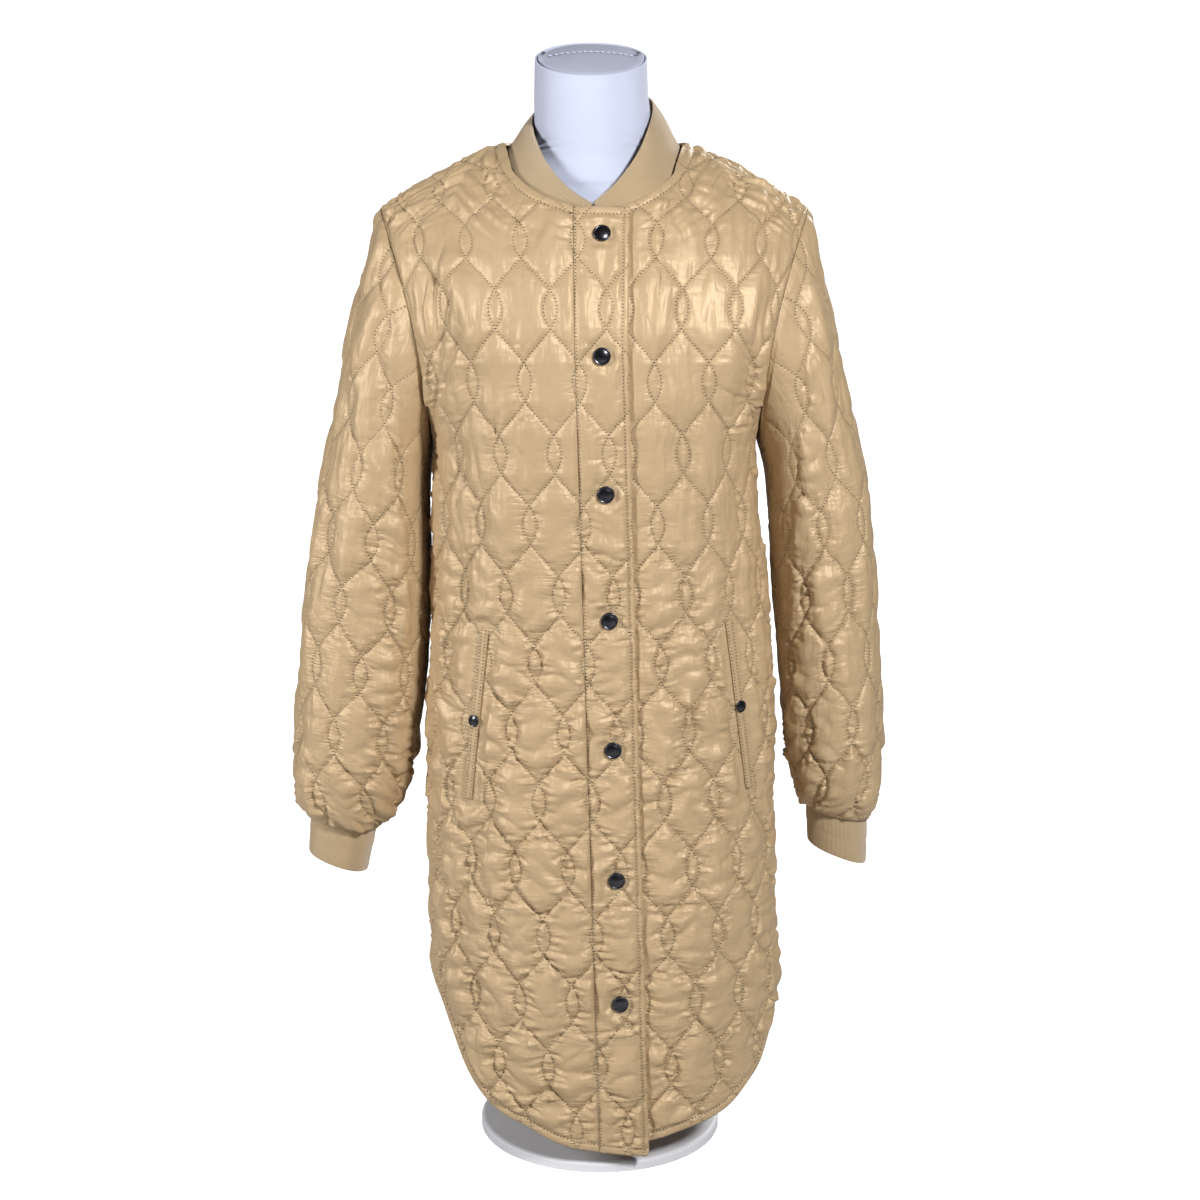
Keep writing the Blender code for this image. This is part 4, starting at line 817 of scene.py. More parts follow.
def body_place(face, u, v):
    """Point of the body's inside: u across the cloth from its middle line, v up it."""
    t = TABLES[face]
    low = np.minimum(v, SHOULDER_Z)
    s = u + shift(face, low)
    long = np.interp(low, t["z"], t["long"])
    at = look_up(t["rows"], (low - t["z"][0]) / (t["z"][1] - t["z"][0]), np.abs(s) / long * (STEPS - 1))
    dx = at[:, 0] * np.sign(s)
    high = np.interp(np.abs(dx), t["x"], t["high"])
    share = np.clip((v - SHOULDER_Z) / high, 0.0, 1.0)
    up = look_up(t["cols"], np.abs(dx) / (t["x"][1] - t["x"][0]), share * (STEPS - 1))
    top = v > SHOULDER_Z
    y = np.where(top, up[:, 1], at[:, 1])
    dx = np.where(top, up[:, 0] * np.sign(s), dx)
    return np.stack([dx + middle(np.where(top, up[:, 2], v)), -y if face == "front" else y,
                     np.where(top, up[:, 2], v)], 1)


def cloth(face, dx, z):
    """Where on the cloth a place in the front view is."""
    low = min(z, SHOULDER_Z)
    path = level_path(face, low)
    dx0 = abs(dx) / float(flare(z))
    u = math.copysign(float(np.interp(dx0, path[:, 0], run_along(path))), dx) - float(shift(face, low))
    if z <= SHOULDER_Z:
        return u, z
    path = column(face, dx0)
    return u, SHOULDER_Z + float(np.interp(z, path[:, 2], run_along(path)))


def side_u(face, z, sign):
    """Place of the side seam on the cloth."""
    t = TABLES[face]
    return sign * float(np.interp(z, t["z"], t["long"])) - float(shift(face, z))


def normals(place, u, v, way):
    """Directions square to the cloth, outward for the right way."""
    h = 0.0015
    n = np.cross(place(u + h, v) - place(u - h, v), place(u, v + h) - place(u, v - h)) * way
    return n / np.linalg.norm(n, axis=1)[:, None]


def fold_rise(face, p):
    """Height of the large folds, which fade out towards the seams and the hem."""
    total = np.zeros(len(p))
    for where, x, z, lean, long, wide, high in FOLDS:
        if where == face:
            c, s = math.cos(math.radians(lean)), math.sin(math.radians(lean))
            along = (p[:, 2] - z) * c + (p[:, 0] - x) * s
            off = (p[:, 0] - x) * c - (p[:, 2] - z) * s
            total += high * np.exp(-(off / wide) ** 2) * np.exp(-(along / long) ** 4)
    side = fair(BODY[:, 0], BODY[:, 1], np.minimum(p[:, 2], UNDERARM_Z))
    arm = np.where(p[:, 2] > UNDERARM_Z, fair(ARMHOLE[:, 0], ARMHOLE[:, 1], p[:, 2]), side)
    calm = ease(0.004, 0.030, arm - np.abs(p[:, 0] - middle(p[:, 2])))
    return total * calm * ease(0.03, 0.10, p[:, 2]) * ease(0.0, 0.03, 0.84 - p[:, 2])


# Sharp creases: face, x and z of one end, x and z of the other, half width, depth
CREASES = (
    ("front", -0.1310, 0.842, -0.1400, 0.742, 0.0026, 0.0030),
    ("front", -0.1210, 0.806, -0.1370, 0.712, 0.0022, 0.0020),
    ("front", -0.1120, 0.772, -0.1360, 0.694, 0.0024, 0.0020),
    ("front", -0.1480, 0.812, -0.1460, 0.752, 0.0020, 0.0020),
    ("front", -0.0835, 0.704, -0.0860, 0.664, 0.0024, 0.0026),
    ("front", -0.0700, 0.690, -0.0640, 0.652, 0.0022, 0.0014),
    ("front", -0.1300, 0.690, -0.1120, 0.630, 0.0026, 0.0018),
    ("front", -0.1080, 0.655, -0.1250, 0.590, 0.0024, 0.0018),
    ("front", -0.0450, 0.862, -0.0560, 0.812, 0.0026, 0.0014),
    ("front", 0.0420, 0.862, 0.0540, 0.806, 0.0026, 0.0014),
    ("front", 0.0560, 0.876, 0.0760, 0.836, 0.0024, 0.0014),
    ("front", -0.0600, 0.880, -0.0800, 0.842, 0.0024, 0.0014),
    ("front", 0.1460, 0.800, 0.1380, 0.736, 0.0024, 0.0024),
    ("front", 0.1330, 0.790, 0.1330, 0.706, 0.0022, 0.0018),
    ("front", 0.1360, 0.730, 0.1020, 0.768, 0.0022, 0.0018),
    ("front", 0.1320, 0.706, 0.0940, 0.722, 0.0022, 0.0016),
    ("front", 0.1300, 0.684, 0.0960, 0.684, 0.0022, 0.0016),
    ("front", 0.1160, 0.640, 0.1300, 0.590, 0.0024, 0.0016),
    ("back", -0.1350, 0.830, -0.1400, 0.742, 0.0026, 0.0026),
    ("back", 0.1350, 0.826, 0.1390, 0.740, 0.0026, 0.0026),
    ("back", -0.1180, 0.780, -0.1340, 0.700, 0.0024, 0.0020),
    ("back", 0.1160, 0.776, 0.1330, 0.704, 0.0024, 0.0020),
    ("back", -0.1340, 0.712, -0.0940, 0.742, 0.0022, 0.0016),
    ("back", 0.1330, 0.700, 0.0960, 0.712, 0.0022, 0.0016),
    ("back", -0.0640, 0.690, -0.0560, 0.640, 0.0024, 0.0016),
    ("back", 0.0700, 0.680, 0.0780, 0.632, 0.0024, 0.0016),
)


def crease_depth(face, p):
    """The listed creases: sharp valleys with a soft lip on the lower or outer side."""
    total = np.zeros(len(p))
    for where, x1, z1, x2, z2, wide, deep in CREASES:
        if where == face:
            long = math.hypot(x2 - x1, z2 - z1)
            cx, cz = (x2 - x1) / long, (z2 - z1) / long
            along = ((p[:, 0] - x1) * cx + (p[:, 2] - z1) * cz) / long
            bow = 0.05 * long * np.sin(math.pi * np.clip(along, 0.0, 1.0))
            bow += 0.0025 * ripple(along * 3.0, along * 0.0, 5)
            off = ((p[:, 0] - x1) * cz - (p[:, 2] - z1) * cx) * (1.0 if cz < 0 else -1.0) - bow
            fade = ease(-0.02, 0.30, along) * (1.0 - ease(0.62, 1.02, along))
            valley = np.exp(-(off / wide) ** 2) - 0.60 * np.exp(-((off + 2.2 * wide) / (2.0 * wide)) ** 2)
            total -= deep * fade * valley
    return total


def arm_place(angle):
    """Place on the armhole: distance from the centre and height; 0 at the shoulder tip."""
    z = (TIP_Z + UNDERARM_Z) / 2 + (TIP_Z - UNDERARM_Z) / 2 * math.cos(angle)
    return float(fair(ARMHOLE[:, 0], ARMHOLE[:, 1], z)), z


def neck_place(face, angle):
    """Place on the neckline; 0 at the middle of the face, a quarter turn at the shoulder."""
    fall = NECK_DROP * math.cos(angle) if face == "front" else -0.0032 * math.cos(angle) ** 2
    return NECK_X * math.sin(angle), NECK_Z - fall


def half_outline(face, sign, first_u, past=0.0):
    """The four edges of half a face: hem, side with armhole, top with neckline, middle."""
    last = side_u(face, HEM_SIDE, sign)
    table = HEM["back" if face == "back" else "right" if sign < 0 else "left"]
    hem = [(u, float(fair(table[:, 0], table[:, 1], max(0.0, u / last))))
           for u in np.linspace(first_u, last, 80)]
    side = [hem[-1]] + [(side_u(face, z, sign) - sign * GAP * 0.5, z)
                        for z in np.linspace(HEM_SIDE, UNDERARM_Z, 50)[1:]]
    for angle in np.linspace(math.pi, 0.0, 40)[1:-1]:
        dx, z = arm_place(angle)
        side.append(cloth(face, sign * dx, z))
    top = []
    for dx in np.linspace(0.190, NECK_X, 30):
        u, v = cloth(face, sign * dx, float(ridge(dx)) - 1e-6)
        top.append((u, v - GAP * 0.5))
    side.append(top[0])
    neck_from = len(top) - 1
    for angle in np.linspace(math.pi / 2, -past, 40)[1:]:
        dx, z = neck_place(face, angle)
        u, v = cloth(face, sign * (dx if abs(dx) > 1e-9 else 1e-6), z)
        if (u - first_u) * sign > 0.002:
            top.append((u, v))
    seam_v = cloth(face, first_u if abs(first_u) > 1e-6 else sign * 1e-6,
                   neck_place(face, 0.0)[1])[1] if past == 0.0 else top[-1][1]
    top.append((first_u, seam_v))
    middle_line = [(first_u, v) for v in np.linspace(hem[0][1], seam_v, 60)]
    return {"hem": np.array(hem), "side": np.array(side), "top": np.array(top[::-1]),
            "middle": np.array(middle_line), "neck": np.array(top[neck_from:])}


def between(outline, s, t):
    """Points inside the four edges of an outline; s runs across and t up, from 0 to 1."""
    def at(line, share):
        along = run_along(line)
        return np.stack([np.interp(share * along[-1], along, line[:, k]) for k in (0, 1)], -1)

    hem, top, side, mid = (at(outline[k], x) for k, x in (("hem", s), ("top", s), ("side", t), ("middle", t)))
    s, t = s[..., None], t[..., None]
    corners = (1 - s) * (1 - t) * outline["hem"][0] + s * (1 - t) * outline["hem"][-1]
    corners += (1 - s) * t * outline["top"][0] + s * t * outline["top"][-1]
    return (1 - t) * hem + t * top + (1 - s) * mid + s * side - corners


def pocket_calm(p, side):
    """The cloth lies flat under a pocket's welt."""
    x1, z1, x2, z2 = WELT[side]
    t = np.clip((z1 - p[:, 2]) / (z1 - z2), 0.0, 1.0)
    return ease(0.007, 0.015, np.hypot(p[:, 0] - x1 - (x2 - x1) * t, p[:, 2] - z1 - (z2 - z1) * t))


def body_panel(name, face, halves, phase, across, up, under, seed, replaced, welt=None):
    """One panel of the body. halves are its outlines, one or a mirrored pair; the panel that
    runs under the placket sinks there."""
    way = 1.0 if face == "front" else -1.0

    def base(a, b):
        return body_place(face, a, b)

    def sink(a):
        return -(WALL + 3 * GAP) * (1.0 - ease(PLACKET / 2 + 0.002, PLACKET / 2 + 0.018, a)) * under

    s, t = np.meshgrid(np.linspace(0.0, 1.0, across + 1), np.linspace(0.0, 1.0, up + 1))
    if len(halves) == 1:
        outer = between(halves[0], s, t)
        if halves[0]["hem"][-1, 0] < halves[0]["hem"][0, 0]:
            outer = outer[:, ::-1]
    else:
        left, right = (between(h, np.abs(2 * s - 1), t) for h in halves)
        outer = np.where((s < 0.5)[..., None], left, right)
    u, v = follow_lines(outer[..., 0].copy(), outer[..., 1].copy(), phase)
    inner = outer[::FINE_STEPS, ::FINE_STEPS]
    outer = np.stack([u, v], -1)
    U, V = u.ravel(), v.ravel()
    p, n = base(U, V), normals(base, U, V, way)
    height = p[:, 2]
    hem_off, side_off, top_off = (np.min([beside(u, v, h[edge])[0] for h in halves], axis=0).ravel()
                                  for edge in ("hem", "side", "top"))
    found = [beside(u, v, h["neck"]) for h in halves]
    neck_off = np.min([f[0] for f in found], axis=0).ravel()
    nearer = np.argmin([f[0] for f in found], axis=0)
    neck_run = np.where(nearer == 0, found[0][1], found[-1][1]).ravel()
    mid_off = np.full(len(U), 1.0) if len(halves) == 2 else np.abs(U - halves[0]["middle"][0, 0])
    hem_line, neck_line = hem_off - HEM_FOLD, neck_off - NECK_FOLD
    # Where the cloth is pulled rough: down the coat, and beside the seams under the arms
    rough = 0.85 * ease(0.075, 0.020, side_off) * ease(0.80, 0.70, height)
    rough = np.max([ease(0.68, 0.44, height), rough, 0.55 * ease(0.07, 0.01, neck_off)], axis=0)
    puff, creased = raised(U, V, phase, rough, 0.12, seed, seed + 20)
    # Both lie down towards the seams, and beside the sleeves, which press on them
    puff *= ease(0.0, 0.006, hem_line) * ease(0.0, 0.007, neck_line) * ease(0.0, 0.007, side_off)
    puff *= 0.30 * ease(0.0, 0.006, top_off) + 0.70 * ease(0.0, 0.035, top_off)
    puff *= 0.25 + 0.75 * ease(0.0, 0.004, mid_off)
    creased *= ease(0.0, 0.004, hem_line) * ease(0.0, 0.004, neck_line) * ease(0.0, 0.010, side_off)
    creased *= ease(0.0, 0.004, mid_off)
    creased *= 1.0 - 0.45 * ease(0.045, 0.012, side_off) * ease(0.70, 0.58, height)
    if under:
        puff *= ease(PLACKET / 2 - 0.001, PLACKET / 2 + 0.006, U)
        creased *= ease(PLACKET / 2 - 0.001, PLACKET / 2 + 0.004, U)
    rise = (puff + creased) * np.where(height < 0.70, 0.25 + 0.75 * ease(0.012, 0.035, side_off), 1.0)
    folded_edge(rise, hem_line, U / 0.0042, HEM_FOLD, 0.0011, 0.00035, 0.007, seed + 9)
    folded_edge(rise, neck_line, neck_run / 0.0042, NECK_FOLD, 0.0011, 0.0006, 0.007, seed + 9)
    # Gathers below the neckline
    below = np.maximum(neck_line, 0.0)
    gathers = ripple(neck_run / 0.0085, neck_line / 0.09, seed + 11) * np.exp(-below / 0.026)
    broad = np.abs(ripple(neck_run / 0.014, neck_line / 0.07, seed + 12)) * np.exp(-below / 0.034)
    rise += 0.0014 * (gathers + 0.8 * broad) * ease(0.0, 0.003, neck_line) * ease(0.0, 0.006, top_off)
    # Creases along the shoulder, from the neckline to the tip
    drift = top_off + 0.007 * ripple(U / 0.045, V / 0.045, seed + 13)
    over = np.abs(ripple(U / 0.050, drift / 0.0090, seed + 14)) - 0.3
    over += 0.45 * ripple(U / 0.040, drift / 0.0062, seed + 15)
    over *= ease(0.825, 0.865, height) * ease(0.0, 0.012, top_off) * ease(0.003, 0.012, neck_off)
    over *= ease(0.060, 0.085, np.abs(p[:, 0] + 0.005)) * ease(0.085, 0.030, top_off)
    rise += (0.0070 if face == "front" else 0.0035) * over * ease(0.0, 0.030, side_off)
    rise += crease_depth(face, p) * ease(0.0, 0.006, side_off) * ease(0.0, 0.004, neck_line)
    if welt:
        rise *= pocket_calm(p, welt)
    rise += fold_rise(face, p)
    outer_at = (p + n * (rise + sink(U) + WALL)[:, None]).reshape(*u.shape, 3)
    iu, iv = inner[..., 0].ravel(), inner[..., 1].ravel()
    ip = base(iu, iv)
    inner_at = ip + normals(base, iu, iv, way) * (fold_rise(face, ip) + sink(iu))[:, None]
    near_hem = hem_off < neck_off
    marks = np.stack([np.where(near_hem, hem_line, neck_line), np.where(near_hem, U, neck_run)], -1)
    bm = quilted_shell(outer, outer_at, inner, inner_at.reshape(*inner.shape[:2], 3), phase,
                       marks.reshape(*u.shape, 2), False)
    made = piece(name, bm, taffeta, replaced)


PLACKET_PHASE = (-0.0426, LENS_ROW)      # the placket's quilting runs on from the right front's
body_panel("right_front", "front", [half_outline("front", -1.0, -PLACKET / 2 - GAP)], PLACKET_PHASE,
           140, 560, False, 11, ("front_right",), welt="right")
body_panel("left_front", "front", [half_outline("front", 1.0, -UNDERLAP, math.radians(11.0))],
           (0.0205, LENS_ROW), 148, 560, True, 31, ("front_left",), welt="left")
body_panel("back_panel", "back", [half_outline("back", -1.0, 0.0), half_outline("back", 1.0, 0.0)],
           (0.0, LENS_ROW), 208, 400, False, 51, ("back",))

# ---- Placket ----
# A band of the same quilted cloth, folded over the right front's edge and sewn down. Its free
# edge is turned and topstitched, and it lies over the left front with the snaps along it.

PLACKET_END = (0.0265, 0.0230)           # its lower end at the sewn and the free edge
FREE_FOLD = 0.0050                       # from the free edge to its topstitching


def front_base(a, b):
    return body_place("front", a, b)


def on_front(a, b, lift):
    """A place above the front's cloth and its folds, and the direction square to it."""
    a, b = np.array([a]), np.array([b])
    facing = normals(front_base, a, b, 1.0)[0]
    at = front_base(a, b)
    return at[0] + facing * (float(fold_rise("front", at)[0]) + lift), facing


s, t = np.meshgrid(np.linspace(0.0, 1.0, 37), np.linspace(0.0, 1.0, 601))
top_v = cloth("front", 0.001, neck_place("front", 0.0)[1])[1]
low_v = PLACKET_END[0] + (PLACKET_END[1] - PLACKET_END[0]) * ease(0.0, 0.85, s)
low_v = low_v + 0.0030 * (1.0 - np.sqrt(1.0 - ease(0.91, 1.0, s) ** 2))       # rounded corner
u, v = -PLACKET / 2 + PLACKET * s, low_v + (top_v - low_v) * t
inner_uv = np.stack([u, v], -1)[::FINE_STEPS, ::FINE_STEPS]
u, v = follow_lines(u, v, PLACKET_PHASE)
U, V = u.ravel(), v.ravel()
p, n = front_base(U, V), normals(front_base, U, V, 1.0)
hem_line, neck_line = V - low_v.ravel() - HEM_FOLD, top_v - V - NECK_FOLD
free, sewn_edge = PLACKET / 2 - U, U + PLACKET / 2
free_line = free - FREE_FOLD
puff, creased = raised(U, V, PLACKET_PHASE, ease(0.72, 0.50, V), 0.15, 71, 75)
puff *= 0.8 * ease(0.0, 0.006, hem_line) * ease(0.0, 0.006, neck_line)
puff *= (0.25 + 0.75 * ease(0.0, 0.007, sewn_edge)) * ease(0.0, 0.006, free_line)
creased *= ease(0.0, 0.003, hem_line) * ease(0.0, 0.003, neck_line) * ease(0.0, 0.003, sewn_edge)
rise = puff + creased * ease(0.0, 0.003, free_line)
for line, run, fold in ((hem_line, U, HEM_FOLD), (neck_line, V, NECK_FOLD), (free_line, V, FREE_FOLD)):
    folded_edge(rise, line, run / 0.0045, fold, 0.0008, 0.00035, 0.005, 81)
for number, snap_v in enumerate(SNAP_V):
    off = np.hypot(U, V - snap_v)
    pucker = np.sin(7 * np.arctan2(V - snap_v, U) + number) * np.exp(-((off - 0.0125) / 0.0035) ** 2)
    rise = rise * ease(0.0085, 0.0165, off) + 0.00045 * pucker * ease(0.0085, 0.010, off)
rise -= 0.0016 * np.exp(-((U - 0.003) / 0.0042) ** 2) * np.exp(-((V - 0.815) / 0.022) ** 4)
rolled = (WALL - 0.0007) * (1.0 - np.sqrt(1.0 - ease(0.0, 1.0, 1.0 - free / 0.0022) ** 2))
outer_at = (p + n * (WALL + rise - rolled)[:, None]).reshape(*u.shape, 3)
inner_at = front_base(inner_uv[..., 0].ravel(), inner_uv[..., 1].ravel()).reshape(*inner_uv.shape[:2], 3)
lines = np.stack([free_line, hem_line, neck_line, sewn_edge - 0.0012])
nearest = np.abs(lines).argmin(axis=0)
seam = np.take_along_axis(lines, nearest[None], 0)[0]
marks = np.stack([seam, np.where((nearest == 1) | (nearest == 2), U, V)], -1).reshape(*u.shape, 2)
bm = quilted_shell(np.stack([u, v], -1), outer_at, inner_uv, inner_at, PLACKET_PHASE, marks, False)
placket = piece("placket_band", bm, taffeta, ("placket",))

# ---- Sleeves ----
# Each sleeve is one piece closed by a seam under the arm, set into the armhole and gathered
# into the cuff. The arms hang close to the body, so the inner side is pressed and creased.

# A row per section down the sleeve: outer x, outer z, inner x, inner z, front depth, back depth
SLEEVES = {
    "right": np.array([
        (0.1950, 0.870, 0.1495, 0.668, 0.075, 0.070), (0.2085, 0.816, 0.1570, 0.640, 0.072, 0.070),
        (0.2230, 0.763, 0.1595, 0.612, 0.068, 0.067), (0.2355, 0.699, 0.1595, 0.580, 0.064, 0.064),
        (0.2490, 0.645, 0.1590, 0.548, 0.061, 0.062), (0.2600, 0.580, 0.1600, 0.505, 0.058, 0.060),
        (0.2710, 0.503, 0.1635, 0.458, 0.056, 0.058), (0.2780, 0.430, 0.1690, 0.410, 0.055, 0.056),
        (0.2825, 0.372, 0.1785, 0.368, 0.052, 0.053), (0.2828, 0.336, 0.1885, 0.332, 0.047, 0.048),
        (0.2785, 0.319, 0.2000, 0.311, 0.039, 0.040), (0.2735, 0.3105, 0.2115, 0.2975, 0.031, 0.031),
    ]),
    "left": np.array([
        (0.1860, 0.870, 0.1410, 0.668, 0.075, 0.070), (0.1955, 0.816, 0.1530, 0.640, 0.072, 0.070),
        (0.2085, 0.763, 0.1565, 0.612, 0.068, 0.067), (0.2220, 0.699, 0.1590, 0.580, 0.064, 0.064),
        (0.2375, 0.643, 0.1610, 0.548, 0.061, 0.062), (0.2465, 0.580, 0.1645, 0.505, 0.058, 0.060),
        (0.2530, 0.503, 0.1690, 0.458, 0.056, 0.058), (0.2585, 0.430, 0.1740, 0.410, 0.055, 0.056),
        (0.2605, 0.372, 0.1800, 0.370, 0.052, 0.053), (0.2585, 0.340, 0.1860, 0.344, 0.047, 0.048),
        (0.2560, 0.323, 0.1905, 0.331, 0.039, 0.040), (0.2530, 0.3070, 0.1950, 0.3205, 0.031, 0.031),
    ]),
}
SLEEVE_GIRTH = 0.385     # round a sleeve, in its own measure across
ARM_TURNS = 168          # paths round a sleeve
QUILT_EASE = 1.12        # cloth taken up by the wadding round a sleeve


# Large folds of a sleeve: share round it (0 outside, 0.25 front), share down it, lean, half
# length and half width in metres, height
SLEEVE_FOLDS = {
    "right": ((0.16, 0.14, 10, 0.060, 0.010, 0.0035), (0.24, 0.20, -14, 0.050, 0.010, -0.0035),
              (0.20, 0.45, 8, 0.090, 0.013, 0.0030), (0.10, 0.62, -6, 0.080, 0.013, 0.0028),
              (-0.18, 0.30, 8, 0.090, 0.014, 0.0035), (-0.12, 0.62, -8, 0.090, 0.014, 0.0030)),
    "left": ((0.16, 0.16, -10, 0.060, 0.010, 0.0030), (0.22, 0.30, 12, 0.060, 0.011, -0.0030),
             (0.12, 0.50, -8, 0.090, 0.013, 0.0028), (0.24, 0.66, 8, 0.070, 0.012, 0.0028),
             (-0.18, 0.32, -8, 0.090, 0.014, 0.0035), (-0.12, 0.60, 8, 0.090, 0.014, 0.0030)),
}


def arm_folds(side, u, v, long):
    """Height of a sleeve's large folds."""
    total = np.zeros(len(u))
    for round_it, down, lean, half_long, half_wide, high in SLEEVE_FOLDS[side]:
        c, s = math.cos(math.radians(lean)), math.sin(math.radians(lean))
        du, dv = u - round_it * SLEEVE_GIRTH, v - long * (1.0 - down)
        along, off = dv * c + du * s, du * c - dv * s
        total += high * np.exp(-(off / half_wide) ** 2) * np.exp(-(along / half_long) ** 4)
    return total * ease(0.0, 0.03, long - v) * ease(0.01, 0.05, v)


def sleeve_tables(side):
    """Paths down the sleeve from the armhole, at even turns round it, and their lengths."""
    rows = SLEEVES[side]
    sign = -1.0 if side == "right" else 1.0
    r = np.linspace(0.0, len(rows) - 1.0, 260)
    ox, oz, ix, iz, front, back = [fair(np.arange(len(rows)), rows[:, k], r) for k in range(6)]
    paths, lengths = [], []
    for turn in np.linspace(-math.pi, math.pi, ARM_TURNS + 1):
        c, s = math.cos(turn), math.sin(turn)
        cc, ss = math.copysign(abs(c) ** 0.92, c), abs(s) ** 0.92
        y = np.where(s > 0, -front, back) * ss
        path = np.stack([sign * ((ox + ix) + (ox - ix) * cc) / 2, y, ((oz + iz) + (oz - iz) * cc) / 2], 1)
        dx, z = arm_place(abs(turn))
        y_arm = float(depth("front" if turn > 0 else "back", dx, z)) if abs(s) > 1e-9 else 0.0
        start = np.array([sign * dx + float(middle(z)), -y_arm if turn > 0 else y_arm, z])
        start[0] += sign * (GAP * 1.6 + max(0.0, -c) ** 2 * (2 * WALL + 0.0014))
        start[2] -= max(0.0, -c) ** 2 * 0.0030
        path += (start - path[0]) * (np.clip(1.0 - r / 1.6, 0.0, 1.0) ** 2)[:, None]
        path, total = even_steps(path[::-1], STEPS)
        paths.append(path)
        lengths.append(total)
    return np.array(paths), np.array(lengths)


def sleeve(side, phase, seed):
    """One sleeve. Its quilting runs straight up the cloth: along the arm's line, and round it by
    the girth at each height."""
    sign = -1.0 if side == "right" else 1.0
    paths, lengths = sleeve_tables(side)

    def place(a, b):
        turn = (np.asarray(a, float) / SLEEVE_GIRTH + 0.5) % 1.0 * ARM_TURNS
        long = np.interp(turn, np.arange(ARM_TURNS + 1), lengths)
        return look_up(paths, turn, np.asarray(b, float) / long * (STEPS - 1))

    def long_at(a):
        return np.interp((a / SLEEVE_GIRTH + 0.5) * ARM_TURNS, np.arange(ARM_TURNS + 1), lengths)

    middles = (SLEEVES[side][:, :2] + SLEEVES[side][:, 2:4]) / 2 * (sign, 1.0)
    arm_line = (middles[0] - middles[-1]) / np.linalg.norm(middles[0] - middles[-1])
    turns = np.linspace(-SLEEVE_GIRTH / 2, SLEEVE_GIRTH / 2, 121)
    heights = np.linspace(0.0, 0.27, 20)
    girths = [np.linalg.norm(np.diff(place(turns, np.full(121, h)), axis=0), axis=1).sum() for h in heights]

    def on_cloth(a, b):
        up = (place(a.ravel(), b.ravel())[:, ::2] - middles[-1]) @ arm_line
        round_it = a.ravel() * np.interp(up, heights, girths) / SLEEVE_GIRTH * QUILT_EASE
        return np.stack([round_it, up], -1).reshape(*a.shape, 2)

    s, t = np.meshgrid(np.linspace(-0.5, 0.5, 201), np.linspace(0.0, 1.0, 321))
    u = s * SLEEVE_GIRTH
    v = t * long_at(u)
    inner_u, inner_v = u[::FINE_STEPS, ::FINE_STEPS].copy(), v[::FINE_STEPS, ::FINE_STEPS].copy()
    cloth_uv = on_cloth(u, v)
    follow_lines(cloth_uv[..., 0], cloth_uv[..., 1], phase, u, v)
    v = np.minimum(v, long_at(u))
    v[-1] = long_at(u[-1])
    U, V, W, X = u.ravel(), v.ravel(), cloth_uv[..., 0].ravel(), cloth_uv[..., 1].ravel()
    p, n = place(U, V), normals(place, U, V, -sign)
    turn, long = U / SLEEVE_GIRTH * 2 * math.pi, long_at(U)
    # The edge at the armhole faces the same way as the body's edge next to it
    for i in np.flatnonzero(long - V < 0.012):
        share = float(ease(-0.80, -0.45, math.cos(turn[i]))) * float(ease(0.012, 0.0, long[i] - V[i]))
        if share > 0.0:
            dx, z = arm_place(abs(turn[i]))
            face, way = ("front", 1.0) if turn[i] > 0 else ("back", -1.0)
            a, b = cloth(face, sign * dx, z)
            body_way = normals(lambda x, y: body_place(face, x, y), np.array([a]), np.array([b]), way)[0]
            n[i] = body_way * share + n[i] * (1.0 - share)
            n[i] /= np.linalg.norm(n[i])
    side_x = p[:, 0] * sign
    beside_body = np.minimum(np.where(side_x < 0.172, 0.2, 1.0), 0.2 + 0.8 * ease(0.172, 0.180, side_x))
    arm_off, end_off, seam_off = long - V, V, SLEEVE_GIRTH / 2 - np.abs(U)
    rough = np.maximum(0.15 + 0.85 * ease(0.50, -0.40, np.cos(turn)), 0.9 * ease(0.16, 0.05, end_off))
    puff, creased = raised(W, X, phase, rough, 0.0, seed, seed + 20)
    puff *= ease(0.0, 0.008, arm_off) * ease(0.0, 0.010, end_off)
    streaks = 0.0011 * ripple(W / 0.022, V / 0.16, seed + 30)
    streaks = streaks + 0.0005 * ripple(W / 0.011, V / 0.08, seed + 31)
    creased += streaks * ease(-0.2, 0.6, np.cos(turn)) * ease(0.05, 0.12, end_off)
    rise = puff + creased * ease(0.0, 0.010, arm_off) * ease(0.0, 0.004, seam_off)
    rise *= ease(0.0, 0.006, end_off)
    gathers = ripple(W / 0.0140, V / 0.08, seed + 40) - 0.6
    gathers += 1.2 * np.abs(ripple(W / 0.0120, V / 0.06, seed + 41))
    rise += 0.0024 * gathers * np.exp(-end_off / 0.020) * ease(0.0, 0.006, end_off)
    rise += arm_folds(side, U, V, long)
    pulled = ripple(turn * 9.0, arm_off / 0.03, seed + 50) * np.exp(-arm_off / 0.010)
    rise += 0.0007 * pulled * ease(0.0, 0.003, arm_off)
    rise *= beside_body * ease(0.0, 0.008, seam_off)
    outer_at = (p + n * (WALL + np.maximum(rise, -0.0006))[:, None]).reshape(*u.shape, 3)
    inner_at = place(inner_u.ravel(), inner_v.ravel()).reshape(*inner_u.shape, 3)
    marks = np.stack([np.full(u.shape, NO_SEAM), v], -1)
    bm = quilted_shell(cloth_uv, outer_at, on_cloth(inner_u, inner_v), inner_at, phase, marks, True)
    made = piece(side + "_sleeve", bm, taffeta, ("sleeve_" + side,))
    ring = np.linalg.norm(np.diff(inner_at, axis=1), axis=2).sum(axis=1)
    float(ring.max())


sleeve("right", (0.010, 0.030), 101)
sleeve("left", (0.004, 0.030), 201)

